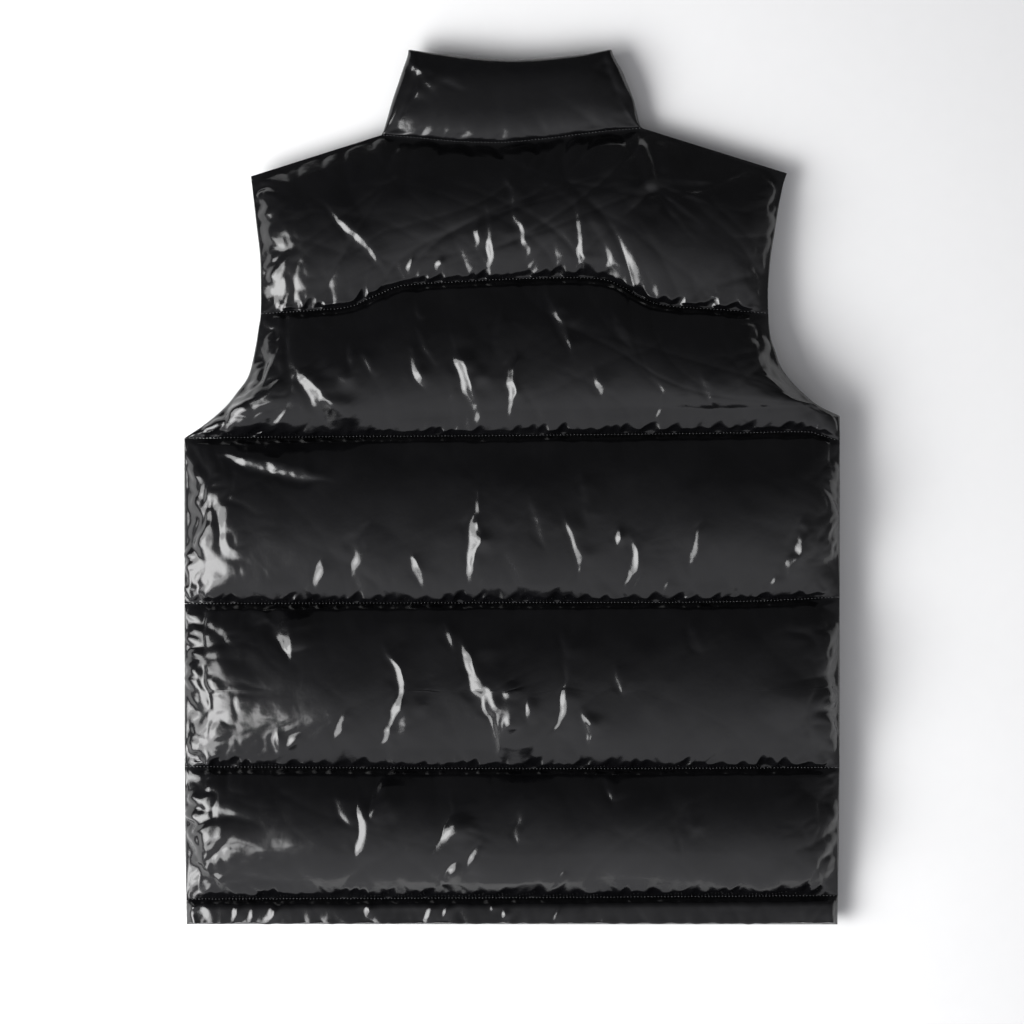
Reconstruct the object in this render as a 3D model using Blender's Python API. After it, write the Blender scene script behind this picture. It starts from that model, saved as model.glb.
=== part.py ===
"""A quilted puffer vest without sleeves, laid flat on a surface with its back up.

Metres, +Z up. +Y runs from the hem to the collar and the wearer's left is at -X.
The origin is at the centre of the bounding box's underside, on the surface.

The vest is sewn from padded strips. Each strip is a closed solid between two
surfaces: the side that faces the other layer follows the rest height, and the
outer side is crowned between the seams and thin at them. Strips share their
seam curves, and each stops half a gap short of them.
"""

import math

import bmesh
import bpy

MM = 0.001

# Driving sizes, in millimetres
CHEST_HALF = 279.8  # half the width across the body, laid flat
SEAM_GAP = 0.3  # between neighbouring pieces
LAYER_GAP = 1.4  # between the back layer and the front layer
SEAM_THICK = 4.0  # a padded strip at its stitching
BACK_LOFT = 29.0  # what the fill adds to a back channel at its crown
HEM_LOFT = 9.0  # what the fill adds to the narrow hem channel
FRONT_EDGE = 7.6  # the front halves stop this far from the centre line
SIDE_ROUND = 62.0  # the crown comes down to the side seams over this width
FLAT_SHARE = 1.5  # above 1 the front channels are pressed flat underneath
COLLAR_MID = 15.0  # height of the fold plane of the flattened collar
COLLAR_GAP = 0.8  # from that plane to the inner face of the band
COLLAR_THIN, COLLAR_LOFT = 2.6, 11.6  # band at its seam, and what the fill adds
NECK_HALF = 112.0
NECK_DROP = 70.0  # the front neckline is this much lower than the sides
NECK_GAP = 1.0  # the band stands this far off the neck seam, whose facets differ
CROWN, BLUNT = 2.2, 0.55  # how full a channel is between its seams

# Height of the plane where front and back meet, by distance along the body
REST_HEIGHT = (  # y, height
    (-374.0, 12.0),
    (-352.0, 14.0),
    (-310.0, 20.0),
    (-239.0, 25.0),
    (43.0, 27.0),
    (150.0, 26.0),
    (215.0, 21.0),
    (255.0, 16.0),
    (275.0, 15.0),
    (374.0, 15.0),
)

# Armhole edge, from the side seam up to the shoulder tip
ARMHOLE_LEFT = (  # x, y
    (-279.6, 42.0),
    (-261.6, 54.1),
    (-245.4, 67.8),
    (-234.3, 81.4),
    (-224.9, 95.1),
    (-219.7, 115.7),
    (-216.3, 136.2),
    (-214.6, 148.1),
    (-214.6, 170.4),
    (-215.5, 197.7),
    (-218.9, 225.1),
    (-222.3, 252.5),
    (-224.0, 267.0),
)
ARMHOLE_RIGHT = (  # x, y
    (279.6, 39.5),
    (279.6, 60.9),
    (265.0, 67.8),
    (254.8, 74.6),
    (240.3, 88.3),
    (230.0, 102.0),
    (224.9, 115.7),
    (220.6, 129.3),
    (218.9, 148.5),
    (218.9, 170.4),
    (221.4, 197.7),
    (224.9, 218.3),
    (228.3, 238.8),
    (232.6, 259.3),
    (236.0, 269.6),
)

# Back seams, each from the left edge to the right edge
YOKE_SEAM = (  # x, y
    (-214.6, 148.1),
    (-165.0, 151.5),
    (-139.4, 154.1),
    (-117.1, 163.5),
    (-98.3, 171.2),
    (-79.5, 173.8),
    (-42.8, 175.8),
    (-6.0, 177.8),
    (53.0, 179.3),
    (79.5, 177.2),
    (95.8, 170.4),
    (110.3, 161.8),
    (132.5, 155.0),
    (173.6, 152.0),
    (218.9, 148.5),
)
SEAM_1 = (  # x, y
    (-279.6, 42.0),
    (-120.0, 43.4),
    (0.0, 44.2),
    (180.0, 46.2),
    (248.0, 47.4),
    (262.0, 44.8),
    (279.6, 39.5),
)
SEAM_2 = ((-279.6, -99.4), (0.0, -98.5), (180.0, -97.8), (279.6, -93.8))
SEAM_3 = ((-279.6, -238.6), (0.0, -240.4), (279.6, -239.4))
SEAM_HEM = ((-279.6, -353.6), (0.0, -352.4), (279.6, -350.4))
HEM_EDGE = ((-279.6, -373.33), (279.6, -373.33))

# Shoulder seams and the back of the neck
SHOULDER_LEFT = ((-224.0, 267.0), (-112.0, 302.6))  # tip, neck
SHOULDER_RIGHT = ((236.0, 269.6), (112.0, 308.4))
BACK_NECK = (  # x, y
    (-112.0, 302.6),
    (-85.5, 300.6),
    (-50.0, 297.4),
    (-13.7, 296.2),
    (24.8, 299.0),
    (77.8, 305.6),
    (112.0, 308.4),
)
COLLAR_TOP = (  # x, y
    (-89.0, 373.0),
    (-60.0, 369.4),
    (-2.0, 365.6),
    (58.0, 369.0),
    (85.5, 373.2),
)
COLLAR_SIDES = (  # share of the height, left x, right x
    (0.0, -112.0, 112.0),
    (0.35, -104.6, 105.6),
    (0.7, -96.2, 96.4),
    (1.0, -89.0, 85.5),
)
FRONT_COLLAR_DROP = 62.0  # dip of the collar's top edge at the centre front

# Zip
ZIP_BELOW = 3.2  # from the rest height down to the chain
TAPE_IN, TAPE_OUT, TAPE_THICK = 3.3, 7.3, 0.8
TEETH_HALF, TEETH_THICK = 3.0, 2.4
ZIP_FOOT, ZIP_TOP = -372.4, 308.0
SLIDER_Y, SLIDER_LENGTH, SLIDER_HALF = 294.0, 11.0, 4.6
PLATE_THICK, PLATE_CLEAR = 1.0, 1.6
ARCH_HALF, ARCH_OPEN, ARCH_THICK, ARCH_WIDTH = 4.0, 2.4, 1.1, 1.6
PULL_LENGTH, PULL_WIDTH, PULL_THICK = 27.0, 6.4, 1.2
PULL_WINDOW = (5.6, 3.4)  # along the tab, across the tab
PULL_DROOP = 14.5  # degrees below level as it lies, towards the hem
BOX_SIZE = (9.0, 11.0, 4.4)  # retainer at the foot of the zip

ROWS_BODY, ROWS_BACK, ROWS_FRONT, ROWS_HEM = 6, 22, 11, 4


def read(table, at, column=1):
    """Straight-line reading of a table whose first column rises."""
    if at <= table[0][0]:
        return table[0][column]
    for low, high in zip(table, table[1:]):
        if at <= high[0]:
            share = (at - low[0]) / (high[0] - low[0])
            return low[column] + share * (high[column] - low[column])
    return table[-1][column]


def along(points, share):
    """The point at that share of a polyline's length."""
    lengths = [math.dist(a, b) for a, b in zip(points, points[1:])]
    left = share * sum(lengths)
    for (a, b), length in zip(zip(points, points[1:]), lengths):
        if left <= length or b is points[-1]:
            part = min(left / length, 1.0)
            return a[0] + part * (b[0] - a[0]), a[1] + part * (b[1] - a[1])
        left -= length
    return points[-1]


def between(points, low, high):
    """The stretch of a polyline whose heights lie from low to high."""
    inside = [p for p in points if low + 0.5 < p[1] < high - 0.5]
    turned = [(y, x) for x, y in points]
    return [(read(turned, low), low), *inside, (read(turned, high), high)]


def until(points, low, high):
    """The stretch of a polyline from one x to another."""
    inside = [p for p in points if low + 0.5 < p[0] < high - 0.5]
    return [(low, read(points, low)), *inside, (high, read(points, high))]


def moved(points, dx=0.0, dy=0.0):
    return [(x + dx, y + dy) for x, y in points]


def patch(bottom, top, left, right, u, v):
    """Coons patch: a point inside four edge curves that meet at their ends."""
    b, t, l, r = along(bottom, u), along(top, u), along(left, v), along(right, v)
    corners = bottom[0], bottom[-1], top[0], top[-1]
    return tuple(
        (1 - v) * b[i]
        + v * t[i]
        + (1 - u) * l[i]
        + u * r[i]
        - (1 - u) * (1 - v) * corners[0][i]
        - u * (1 - v) * corners[1][i]
        - (1 - u) * v * corners[2][i]
        - u * v * corners[3][i]
        for i in (0, 1)
    )


def crown(share):
    """0 at both ends of a channel, 1 in its middle."""
    return (1 - abs(2 * share - 1) ** CROWN) ** BLUNT


def shoulder_off(distance, reach):
    """0 at an edge and 1 from reach inwards."""
    share = min(max(distance / reach, 0.0), 1.0)
    return (1 - (1 - share) ** CROWN) ** BLUNT


def crowded(share, pull):
    """Spreads rows so that they crowd towards both ends."""
    return share - pull * math.sin(2 * math.pi * share) / (2 * math.pi)


def material(name, colour, roughness, metallic=0.0, coat=0.0):
    made = bpy.data.materials.get(name) or bpy.data.materials.new(name)
    made.use_nodes = True
    shader = made.node_tree.nodes["Principled BSDF"]
    shader.inputs["Base Color"].default_value = (*colour, 1.0)
    shader.inputs["Roughness"].default_value = roughness
    shader.inputs["Metallic"].default_value = metallic
    shader.inputs["Coat Weight"].default_value = coat
    made.diffuse_color = (*colour, 1.0)
    return made


def solid(name, columns, rows, place, finish, collection, ends=(0.7, 0.55)):
    """A closed solid over a grid. place(u, v) gives (x, y, low, high) or two points."""
    mesh = bpy.data.meshes.new(name)
    bm = bmesh.new()
    bmesh.ops.create_grid(bm, x_segments=columns, y_segments=rows, size=0.5)
    raised = bmesh.ops.extrude_face_region(bm, geom=bm.faces[:])
    upper = {g for g in raised["geom"] if isinstance(g, bmesh.types.BMVert)}
    for vert in bm.verts:
        u = crowded(min(max(vert.co.x + 0.5, 0.0), 1.0), ends[0])
        v = crowded(min(max(vert.co.y + 0.5, 0.0), 1.0), ends[1])
        low, high = place(u, v)
        vert.co = [c * MM for c in (high if vert in upper else low)]
    bmesh.ops.recalc_face_normals(bm, faces=bm.faces[:])
    bm.to_mesh(mesh)
    bm.free()
    mesh.materials.append(finish)
    mesh.shade_smooth()
    mesh.set_sharp_from_angle(angle=math.radians(50))
    made = bpy.data.objects.new(name, mesh)
    collection.objects.link(made)
    return made


def strip(name, edges, up, loft, columns, rows, finish, collection, round_left, round_right):
    """A padded channel inside four edges. up: the crown faces +Z, or else -Z."""
    bottom, top, left, right = edges
    floor_of = {}

    def place(u, v):
        x, y = patch(bottom, top, left, right, u, v)
        rest = read(REST_HEIGHT, y)
        edge = min(u, 1 - u, v, 1 - v) < 1e-6
        gap = (SEAM_GAP if edge else LAYER_GAP) / 2
        across = 1.0
        start, end = along(left, v)[0], along(right, v)[0]
        if round_left:
            across = min(across, shoulder_off(x - start, round_left))
        if round_right:
            across = min(across, shoulder_off(end - x, round_right))
        full = crown(v) * across
        if up:
            low = rest + gap
            high = rest + SEAM_THICK + SEAM_GAP / 2 + loft * full
        else:
            high = rest - gap
            low = (rest - SEAM_THICK - SEAM_GAP / 2) * (1 - min(1.0, FLAT_SHARE * full))
        return (x, y, low), (x, y, high)

    return solid(name, columns, rows, place, finish, collection)


def side(points, low_seam, high_seam, sign, half):
    """An edge between two seams, half a gap inside both of them."""
    low = (low_seam[0] if sign < 0 else low_seam[-1])[1] + half
    high = (high_seam[0] if sign < 0 else high_seam[-1])[1] - half
    return between(points, low, high)


def box(name, low, high, collection, round_off=0.0):
    """A box between two corners, its upright edges rounded."""
    mesh = bpy.data.meshes.new(name)
    bm = bmesh.new()
    bmesh.ops.create_cube(bm, size=1.0)
    for vert in bm.verts:
        vert.co = [
            (a + b) / 2 * MM + c * (b - a) * MM for c, a, b in zip(vert.co, low, high)
        ]
    if round_off:
        upright = [
            e
            for e in bm.edges
            if abs(e.verts[0].co.z - e.verts[1].co.z) > 1e-6
        ]
        bmesh.ops.bevel(
            bm,
            geom=upright,
            offset=round_off * MM,
            segments=3,
            profile=0.5,
            affect="EDGES",
        )
    bm.to_mesh(mesh)
    bm.free()
    made = bpy.data.objects.new(name, mesh)
    collection.objects.link(made)
    return made


def combine(target, other, operation):
    """Joins or cuts with a hidden helper."""
    other.hide_render = True
    other.display_type = "WIRE"
    step = target.modifiers.new(other.name, "BOOLEAN")
    step.operation = operation
    step.object = other
    step.solver = "EXACT"


for old in list(bpy.data.objects):
    bpy.data.objects.remove(old, do_unlink=True)

vest = bpy.data.collections.new("puffer_vest")
helpers = bpy.data.collections.new("puffer_vest_helpers")
for group in (vest, helpers):
    bpy.context.scene.collection.children.link(group)

SHELL = material("shell_nylon", (0.012, 0.012, 0.014), 0.24, coat=0.4)
TAPE = material("zip_tape", (0.015, 0.015, 0.016), 0.7)
TEETH = material("zip_teeth", (0.02, 0.02, 0.021), 0.35)
METAL = material("zip_metal", (0.03, 0.03, 0.032), 0.3, metallic=0.8)

# The straight sides carry on down from the armholes
LEFT_EDGE = [(-CHEST_HALF, -373.8), (-CHEST_HALF, 41.8), *ARMHOLE_LEFT[1:]]
RIGHT_EDGE = [(CHEST_HALF, -373.8), (CHEST_HALF, 60.9), *ARMHOLE_RIGHT[2:]]
half = SEAM_GAP / 2

# Back: four channels and the hem, from the bottom up
LAYERS = (  # name, lower seam, upper seam, loft, rows
    ("hem", HEM_EDGE, SEAM_HEM, HEM_LOFT, ROWS_HEM),
    ("channel_4", SEAM_HEM, SEAM_3, BACK_LOFT, ROWS_BODY),
    ("channel_3", SEAM_3, SEAM_2, BACK_LOFT, ROWS_BODY),
    ("channel_2", SEAM_2, SEAM_1, BACK_LOFT, ROWS_BODY),
    ("channel_1", SEAM_1, YOKE_SEAM, BACK_LOFT, ROWS_BODY),
)


def front_seam(seam):
    """A front seam keeps the back seam's height where it meets the side."""
    return (seam[0], (0.0, (seam[0][1] + seam[-1][1]) / 2), seam[-1])


for name, lower, upper, loft, rows in LAYERS:
    left = side(LEFT_EDGE, lower, upper, -1, half)
    right = side(RIGHT_EDGE, lower, upper, 1, half)
    bottom = [left[0], *moved(lower[1:-1], dy=half), right[0]]
    top = [left[-1], *moved(upper[1:-1], dy=-half), right[-1]]
    strip(
        "back_" + name,
        (bottom, top, left, right),
        True,
        loft,
        ROWS_BACK,
        rows,
        SHELL,
        vest,
        SIDE_ROUND if name != "hem" else 14.0,
        SIDE_ROUND if name != "hem" else 14.0,
    )
    f_low, f_high = front_seam(lower), front_seam(upper)
    for sign, word in ((-1, "left"), (1, "right")):
        outer = left if sign < 0 else right
        inner = [
            (sign * FRONT_EDGE, f_low[1][1] + half),
            (sign * FRONT_EDGE, f_high[1][1] - half),
        ]
        ends = (outer, inner) if sign < 0 else (inner, outer)
        strip(
            f"front_{word}_{name}",
            (
                [ends[0][0], ends[1][0]],
                [ends[0][-1], ends[1][-1]],
                ends[0],
                ends[1],
            ),
            False,
            0.0,
            ROWS_FRONT,
            rows,
            SHELL,
            vest,
            SIDE_ROUND if sign < 0 else 26.0,
            26.0 if sign < 0 else SIDE_ROUND,
        )

# Back yoke: from the yoke seam to the shoulders and the neck
left = [p for p in between(ARMHOLE_LEFT, YOKE_SEAM[0][1] + half, 267.0)]
right = [p for p in between(ARMHOLE_RIGHT, YOKE_SEAM[-1][1] + half, 269.6)]
neck = moved(BACK_NECK, dy=-half)
bottom = [left[0], *moved(YOKE_SEAM[1:-1], dy=half), right[0]]
top = [left[-1], *neck, right[-1]]
strip("back_yoke", (bottom, top, left, right), True, BACK_LOFT - 3, ROWS_BACK, 8, SHELL, vest, 48.0, 48.0)


def scoop(x, low_y, side_y, half_width):
    """Front neckline: level at the centre front and steep at the sides."""
    return low_y + (side_y - low_y) * (abs(x) / half_width) ** 2.2


# Front yokes
for sign, word in ((-1, "left"), (1, "right")):
    armhole = left if sign < 0 else right
    shoulder = SHOULDER_LEFT if sign < 0 else SHOULDER_RIGHT
    side_y = shoulder[1][1]
    neckline = [
        (sign * x, scoop(x, side_y - NECK_DROP, side_y, NECK_HALF) - half)
        for x in (112.0, 104.0, 94.0, 80.0, 62.0, 40.0, 20.0, FRONT_EDGE)
    ]
    middle = (YOKE_SEAM[0][1] + YOKE_SEAM[-1][1]) / 2 + half
    inner = [(sign * FRONT_EDGE, middle), neckline[-1]]
    top = [armhole[-1], *neckline]
    bottom = [armhole[0], inner[0]]
    edges = (bottom, top, armhole, inner)
    if sign > 0:
        edges = (bottom[::-1], top[::-1], inner, armhole)
    strip(
        f"front_{word}_yoke",
        edges,
        False,
        0.0,
        ROWS_FRONT + 1,
        8,
        SHELL,
        vest,
        48.0 if sign < 0 else 22.0,
        22.0 if sign < 0 else 48.0,
    )

# Collar: one band from the left centre front, round the back, to the right centre front.
# Its cross-section runs along the fold plane, turns round at each side, and comes back.
COLLAR_RUN = (  # share of the band, where it is
    (0.0, "front left"),
    (0.22, "left fold"),
    (0.30, "back"),
    (0.70, "right fold"),
    (0.78, "front right"),
    (1.0, "end"),
)
SIDE_NECK = (BACK_NECK[0][1], BACK_NECK[-1][1])


def collar_place(u, v):
    thick = COLLAR_THIN + COLLAR_LOFT * (1 - abs(2 * v - 1) ** 2.6) ** 0.6 + 1.2 * v
    outer = COLLAR_GAP + thick
    left_x, right_x = read(COLLAR_SIDES, v, 1), read(COLLAR_SIDES, v, 2)
    centre = left_x + outer, right_x - outer  # of the two folds
    a, b, c, d = (row[0] for row in COLLAR_RUN[1:5])
    thin = 1.0
    if u < a or u > d:
        on_left = u < a
        share = u / a if on_left else (1 - u) / (1 - d)  # 0 at the zip, 1 at the fold
        fold = centre[0] if on_left else centre[1]
        x = (-FRONT_EDGE if on_left else FRONT_EDGE) * (1 - share) + fold * share
        turn = -math.pi / 2
        thin = 0.42 + 0.58 * shoulder_off(share, 0.3)
    elif u < b or u > c:
        on_left = u < b
        share = (u - a) / (b - a) if on_left else (d - u) / (d - c)
        x = centre[0] if on_left else centre[1]
        turn = -math.pi / 2 + math.pi * share
    else:
        share = (u - b) / (c - b)
        x = centre[0] * (1 - share) + centre[1] * share
        turn = math.pi / 2
    sign = -1 if (u < (b + c) / 2) else 1
    dx, dz = sign * math.cos(turn), math.sin(turn)
    points = []
    for offset in (COLLAR_GAP, COLLAR_GAP + thick * thin):
        px = x + dx * offset
        pz = max(0.0, min(COLLAR_MID + dz * offset, 2 * COLLAR_MID))  # pressed flat
        limit = max(-right_x, min(px, right_x)) if sign > 0 else px
        behind = min(math.sin(turn) + 1.15, 1.0)  # 0 in front, 1 behind
        behind = 0.0 if turn <= -1.5 else behind
        back_low = read(BACK_NECK, limit) + NECK_GAP
        back_high = read(COLLAR_TOP, limit)
        reach = min(abs(x) / NECK_HALF, 1.0)
        side_y = SIDE_NECK[0] if sign < 0 else SIDE_NECK[1]
        front_low = scoop(x, side_y - NECK_DROP, side_y, NECK_HALF) + 2 * NECK_GAP
        top_y = COLLAR_TOP[0][1] if sign < 0 else COLLAR_TOP[-1][1]
        front_high = scoop(x, top_y - FRONT_COLLAR_DROP, top_y, 90.0)
        low_y = front_low * (1 - behind) + back_low * behind
        high_y = min(front_high, top_y) * (1 - behind) + back_high * behind
        points.append((px, low_y + v * (high_y - low_y), pz))
    return points[0], points[1]


solid("collar", 30, 6, collar_place, SHELL, vest, ends=(0.0, 0.55))

# Zip tapes and teeth, in the valley between the front halves
for sign, word in ((-1, "left"), (1, "right")):
    for kind, near, far, thick, top_y, finish in (
        ("tape", TAPE_IN, TAPE_OUT, TAPE_THICK, ZIP_TOP, TAPE),
        ("teeth", SEAM_GAP / 2, TEETH_HALF, TEETH_THICK, SLIDER_Y + 1.0, TEETH),
    ):

        def band(u, v, near=near, far=far, thick=thick, top_y=top_y, sign=sign):
            x = sign * (near + u * (far - near))
            y = ZIP_FOOT + (BOX_SIZE[1] + SEAM_GAP if thick == TEETH_THICK else 0.0)
            y += v * (top_y - y)
            middle = read(REST_HEIGHT, y) - ZIP_BELOW
            return (x, y, middle - thick / 2), (x, y, middle + thick / 2)

        solid(f"zip_{kind}_{word}", 1, 34, band, finish, vest, ends=(0.0, 0.0))

# Slider: two plates held apart by a wedge at the upper end, with an arch for the pull
chain = read(REST_HEIGHT, SLIDER_Y) - ZIP_BELOW
y_low, y_high = SLIDER_Y - SLIDER_LENGTH / 2, SLIDER_Y + SLIDER_LENGTH / 2
face = chain - PLATE_CLEAR - PLATE_THICK
slider = box(
    "zip_slider",
    (-SLIDER_HALF, y_low, face),
    (SLIDER_HALF, y_high, chain - PLATE_CLEAR),
    vest,
    2.0,
)
slider.data.materials.append(METAL)
for helper in (
    box(
        "slider_inner_plate",
        (-SLIDER_HALF, y_low, chain + PLATE_CLEAR),
        (SLIDER_HALF, y_high, chain + PLATE_CLEAR + PLATE_THICK),
        helpers,
        2.0,
    ),
    box(
        "slider_wedge",
        (-1.2, y_high - 3.4, face + 0.3),
        (1.2, y_high - 0.4, chain + PLATE_CLEAR + 0.7),
        helpers,
        0.6,
    ),
    box(
        "slider_arch",
        (-ARCH_WIDTH / 2, SLIDER_Y - ARCH_HALF, face - ARCH_OPEN - ARCH_THICK),
        (ARCH_WIDTH / 2, SLIDER_Y + ARCH_HALF, face + 0.4),
        helpers,
    ),
):
    combine(slider, helper, "UNION")
combine(
    slider,
    box(
        "slider_arch_opening",
        (-ARCH_WIDTH, SLIDER_Y - ARCH_HALF + ARCH_THICK, face - ARCH_OPEN),
        (ARCH_WIDTH, SLIDER_Y + ARCH_HALF - ARCH_THICK, face),
        helpers,
    ),
    "DIFFERENCE",
)

# Pull tab: its origin is on the hinge axis, under the arch
pull = box(
    "zip_pull",
    (-PULL_WIDTH / 2, -PULL_LENGTH, -PULL_THICK / 2),
    (PULL_WIDTH / 2, PULL_THICK / 2, PULL_THICK / 2),
    vest,
    1.2,
)
pull.data.materials.append(METAL)
window = box(
    "pull_window",
    (-PULL_WINDOW[1] / 2, -PULL_THICK / 2 - PULL_WINDOW[0], -PULL_THICK),
    (PULL_WINDOW[1] / 2, -PULL_THICK / 2, PULL_THICK),
    helpers,
)
grip = box(
    "pull_grip_hole",
    (-1.1, -PULL_LENGTH + 3.0, -PULL_THICK),
    (1.1, -PULL_LENGTH + 8.0, PULL_THICK),
    helpers,
    1.0,
)
for cutter in (window, grip):
    cutter.parent = pull
    combine(pull, cutter, "DIFFERENCE")
pull.location = (0.0, SLIDER_Y * MM, (face - ARCH_OPEN / 2) * MM)
pull.rotation_euler = (math.radians(PULL_DROOP), 0.0, 0.0)

# Pin and box at the foot of the zip
foot = read(REST_HEIGHT, ZIP_FOOT + BOX_SIZE[1] / 2) - ZIP_BELOW
retainer = box(
    "zip_retainer",
    (-TAPE_IN + SEAM_GAP, ZIP_FOOT, foot - BOX_SIZE[2] / 2),
    (TAPE_IN - SEAM_GAP, ZIP_FOOT + BOX_SIZE[1], foot + BOX_SIZE[2] / 2),
    vest,
    0.8,
)
retainer.data.materials.append(METAL)
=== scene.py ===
"""Looks of the quilted puffer vest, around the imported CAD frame.

Each padded strip is a fine sheet of coated nylon stretched over its filling: its cut
is a little longer than the space between its seams, and a small cloth relaxation
(edges held to length, filling pressing back, seams pinned) turns the spare length
into puckers at the stitching. The main creases come from a table in millimetres.
"""

import math

import bpy
import numpy as np
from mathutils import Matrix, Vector


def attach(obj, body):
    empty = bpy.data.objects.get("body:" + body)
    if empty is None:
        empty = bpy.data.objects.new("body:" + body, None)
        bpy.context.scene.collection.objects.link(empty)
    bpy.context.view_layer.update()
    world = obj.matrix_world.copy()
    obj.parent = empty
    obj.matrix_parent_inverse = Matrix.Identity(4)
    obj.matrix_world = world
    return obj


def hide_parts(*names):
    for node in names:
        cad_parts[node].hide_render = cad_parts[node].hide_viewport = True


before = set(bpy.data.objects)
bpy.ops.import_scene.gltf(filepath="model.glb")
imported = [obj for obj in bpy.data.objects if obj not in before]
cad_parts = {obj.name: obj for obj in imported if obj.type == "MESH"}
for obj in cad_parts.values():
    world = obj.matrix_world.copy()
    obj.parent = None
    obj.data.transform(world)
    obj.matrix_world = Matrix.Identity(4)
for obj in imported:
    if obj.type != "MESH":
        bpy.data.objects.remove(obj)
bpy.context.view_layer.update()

MM = 0.001
ROOT = "vest"

# ------------------------------------------------------------------ sizes, in millimetres
CHEST_HALF = 279.8
SEAM_GAP = 0.24
LEDGE = 0.9  # flat fabric beside the stitching before the channel rises
WALL = 5.0  # the steep first part of a channel, which the gathers draw inwards
SEAM_RISE = 1.5  # outer face over the rest height at the stitching
BACK_LOFT = 27.5
HEM_LOFT = 10.5
FRONT_EDGE = 7.6
SIDE_ROUND = 52.0
FLAT_SHARE = 1.5
CROWN, BLUNT = 2.0, 0.98  # across a channel
SIDE_CROWN, SIDE_BLUNT = 2.2, 0.6  # at its ends
COLLAR_MID = 15.0
COLLAR_GAP = 0.8
COLLAR_THIN, COLLAR_LOFT = 2.2, 10.0
NECK_HALF, NECK_DROP = 112.0, 70.0
FRONT_COLLAR_DROP = 62.0
ZIP_BELOW = 3.2
TEETH_HALF = 3.0
ZIP_FOOT, SLIDER_Y = -372.4, 294.0

REST_HEIGHT = (  # y, height of the plane where front and back meet
    (-374.0, 12.0),
    (-352.0, 14.0),
    (-310.0, 20.0),
    (-239.0, 25.0),
    (43.0, 27.0),
    (150.0, 26.0),
    (215.0, 21.0),
    (255.0, 16.0),
    (275.0, 15.0),
    (374.0, 15.0),
)
ARMHOLE_LEFT = (  # x, y
    (-279.6, 42.0),
    (-261.6, 54.1),
    (-245.4, 67.8),
    (-234.3, 81.4),
    (-224.9, 95.1),
    (-219.7, 115.7),
    (-216.3, 136.2),
    (-214.6, 148.1),
    (-214.6, 170.4),
    (-215.5, 197.7),
    (-218.9, 225.1),
    (-222.3, 252.5),
    (-224.0, 267.0),
)
ARMHOLE_RIGHT = (  # x, y
    (279.6, 39.5),
    (279.6, 60.9),
    (265.0, 67.8),
    (254.8, 74.6),
    (240.3, 88.3),
    (230.0, 102.0),
    (224.9, 115.7),
    (220.6, 129.3),
    (218.9, 148.5),
    (218.9, 170.4),
    (221.4, 197.7),
    (224.9, 218.3),
    (228.3, 238.8),
    (232.6, 259.3),
    (236.0, 269.6),
)
YOKE_SEAM = (  # x, y
    (-214.6, 148.1),
    (-165.0, 151.5),
    (-139.4, 154.1),
    (-117.1, 163.5),
    (-98.3, 171.2),
    (-79.5, 173.8),
    (-42.8, 175.8),
    (-6.0, 177.8),
    (53.0, 179.3),
    (79.5, 177.2),
    (95.8, 170.4),
    (110.3, 161.8),
    (132.5, 155.0),
    (173.6, 152.0),
    (218.9, 148.5),
)
SEAM_1 = (
    (-279.6, 42.0),
    (-120.0, 43.4),
    (0.0, 44.2),
    (180.0, 46.2),
    (248.0, 47.4),
    (262.0, 44.8),
    (279.6, 39.5),
)
SEAM_2 = ((-279.6, -99.4), (0.0, -98.5), (180.0, -97.8), (279.6, -93.8))
SEAM_3 = ((-279.6, -238.6), (0.0, -240.4), (279.6, -239.4))
SEAM_HEM = ((-279.6, -353.6), (0.0, -352.4), (279.6, -350.4))
HEM_EDGE = ((-279.6, -375.8), (279.6, -375.8))
SHOULDER_LEFT = ((-224.0, 267.0), (-112.0, 302.6))
SHOULDER_RIGHT = ((236.0, 269.6), (112.0, 308.4))
BACK_NECK = (
    (-112.0, 302.6),
    (-85.5, 300.6),
    (-50.0, 297.4),
    (-13.7, 296.2),
    (24.8, 299.0),
    (77.8, 305.6),
    (112.0, 308.4),
)
COLLAR_TOP = (
    (-89.0, 375.6),
    (-60.0, 371.4),
    (-2.0, 366.4),
    (58.0, 370.8),
    (85.5, 375.8),
)
COLLAR_SIDES = (  # share of the height, left x, right x
    (0.0, -112.0, 112.0),
    (0.35, -104.6, 105.6),
    (0.7, -96.2, 96.4),
    (1.0, -89.0, 85.5),
)

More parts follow.
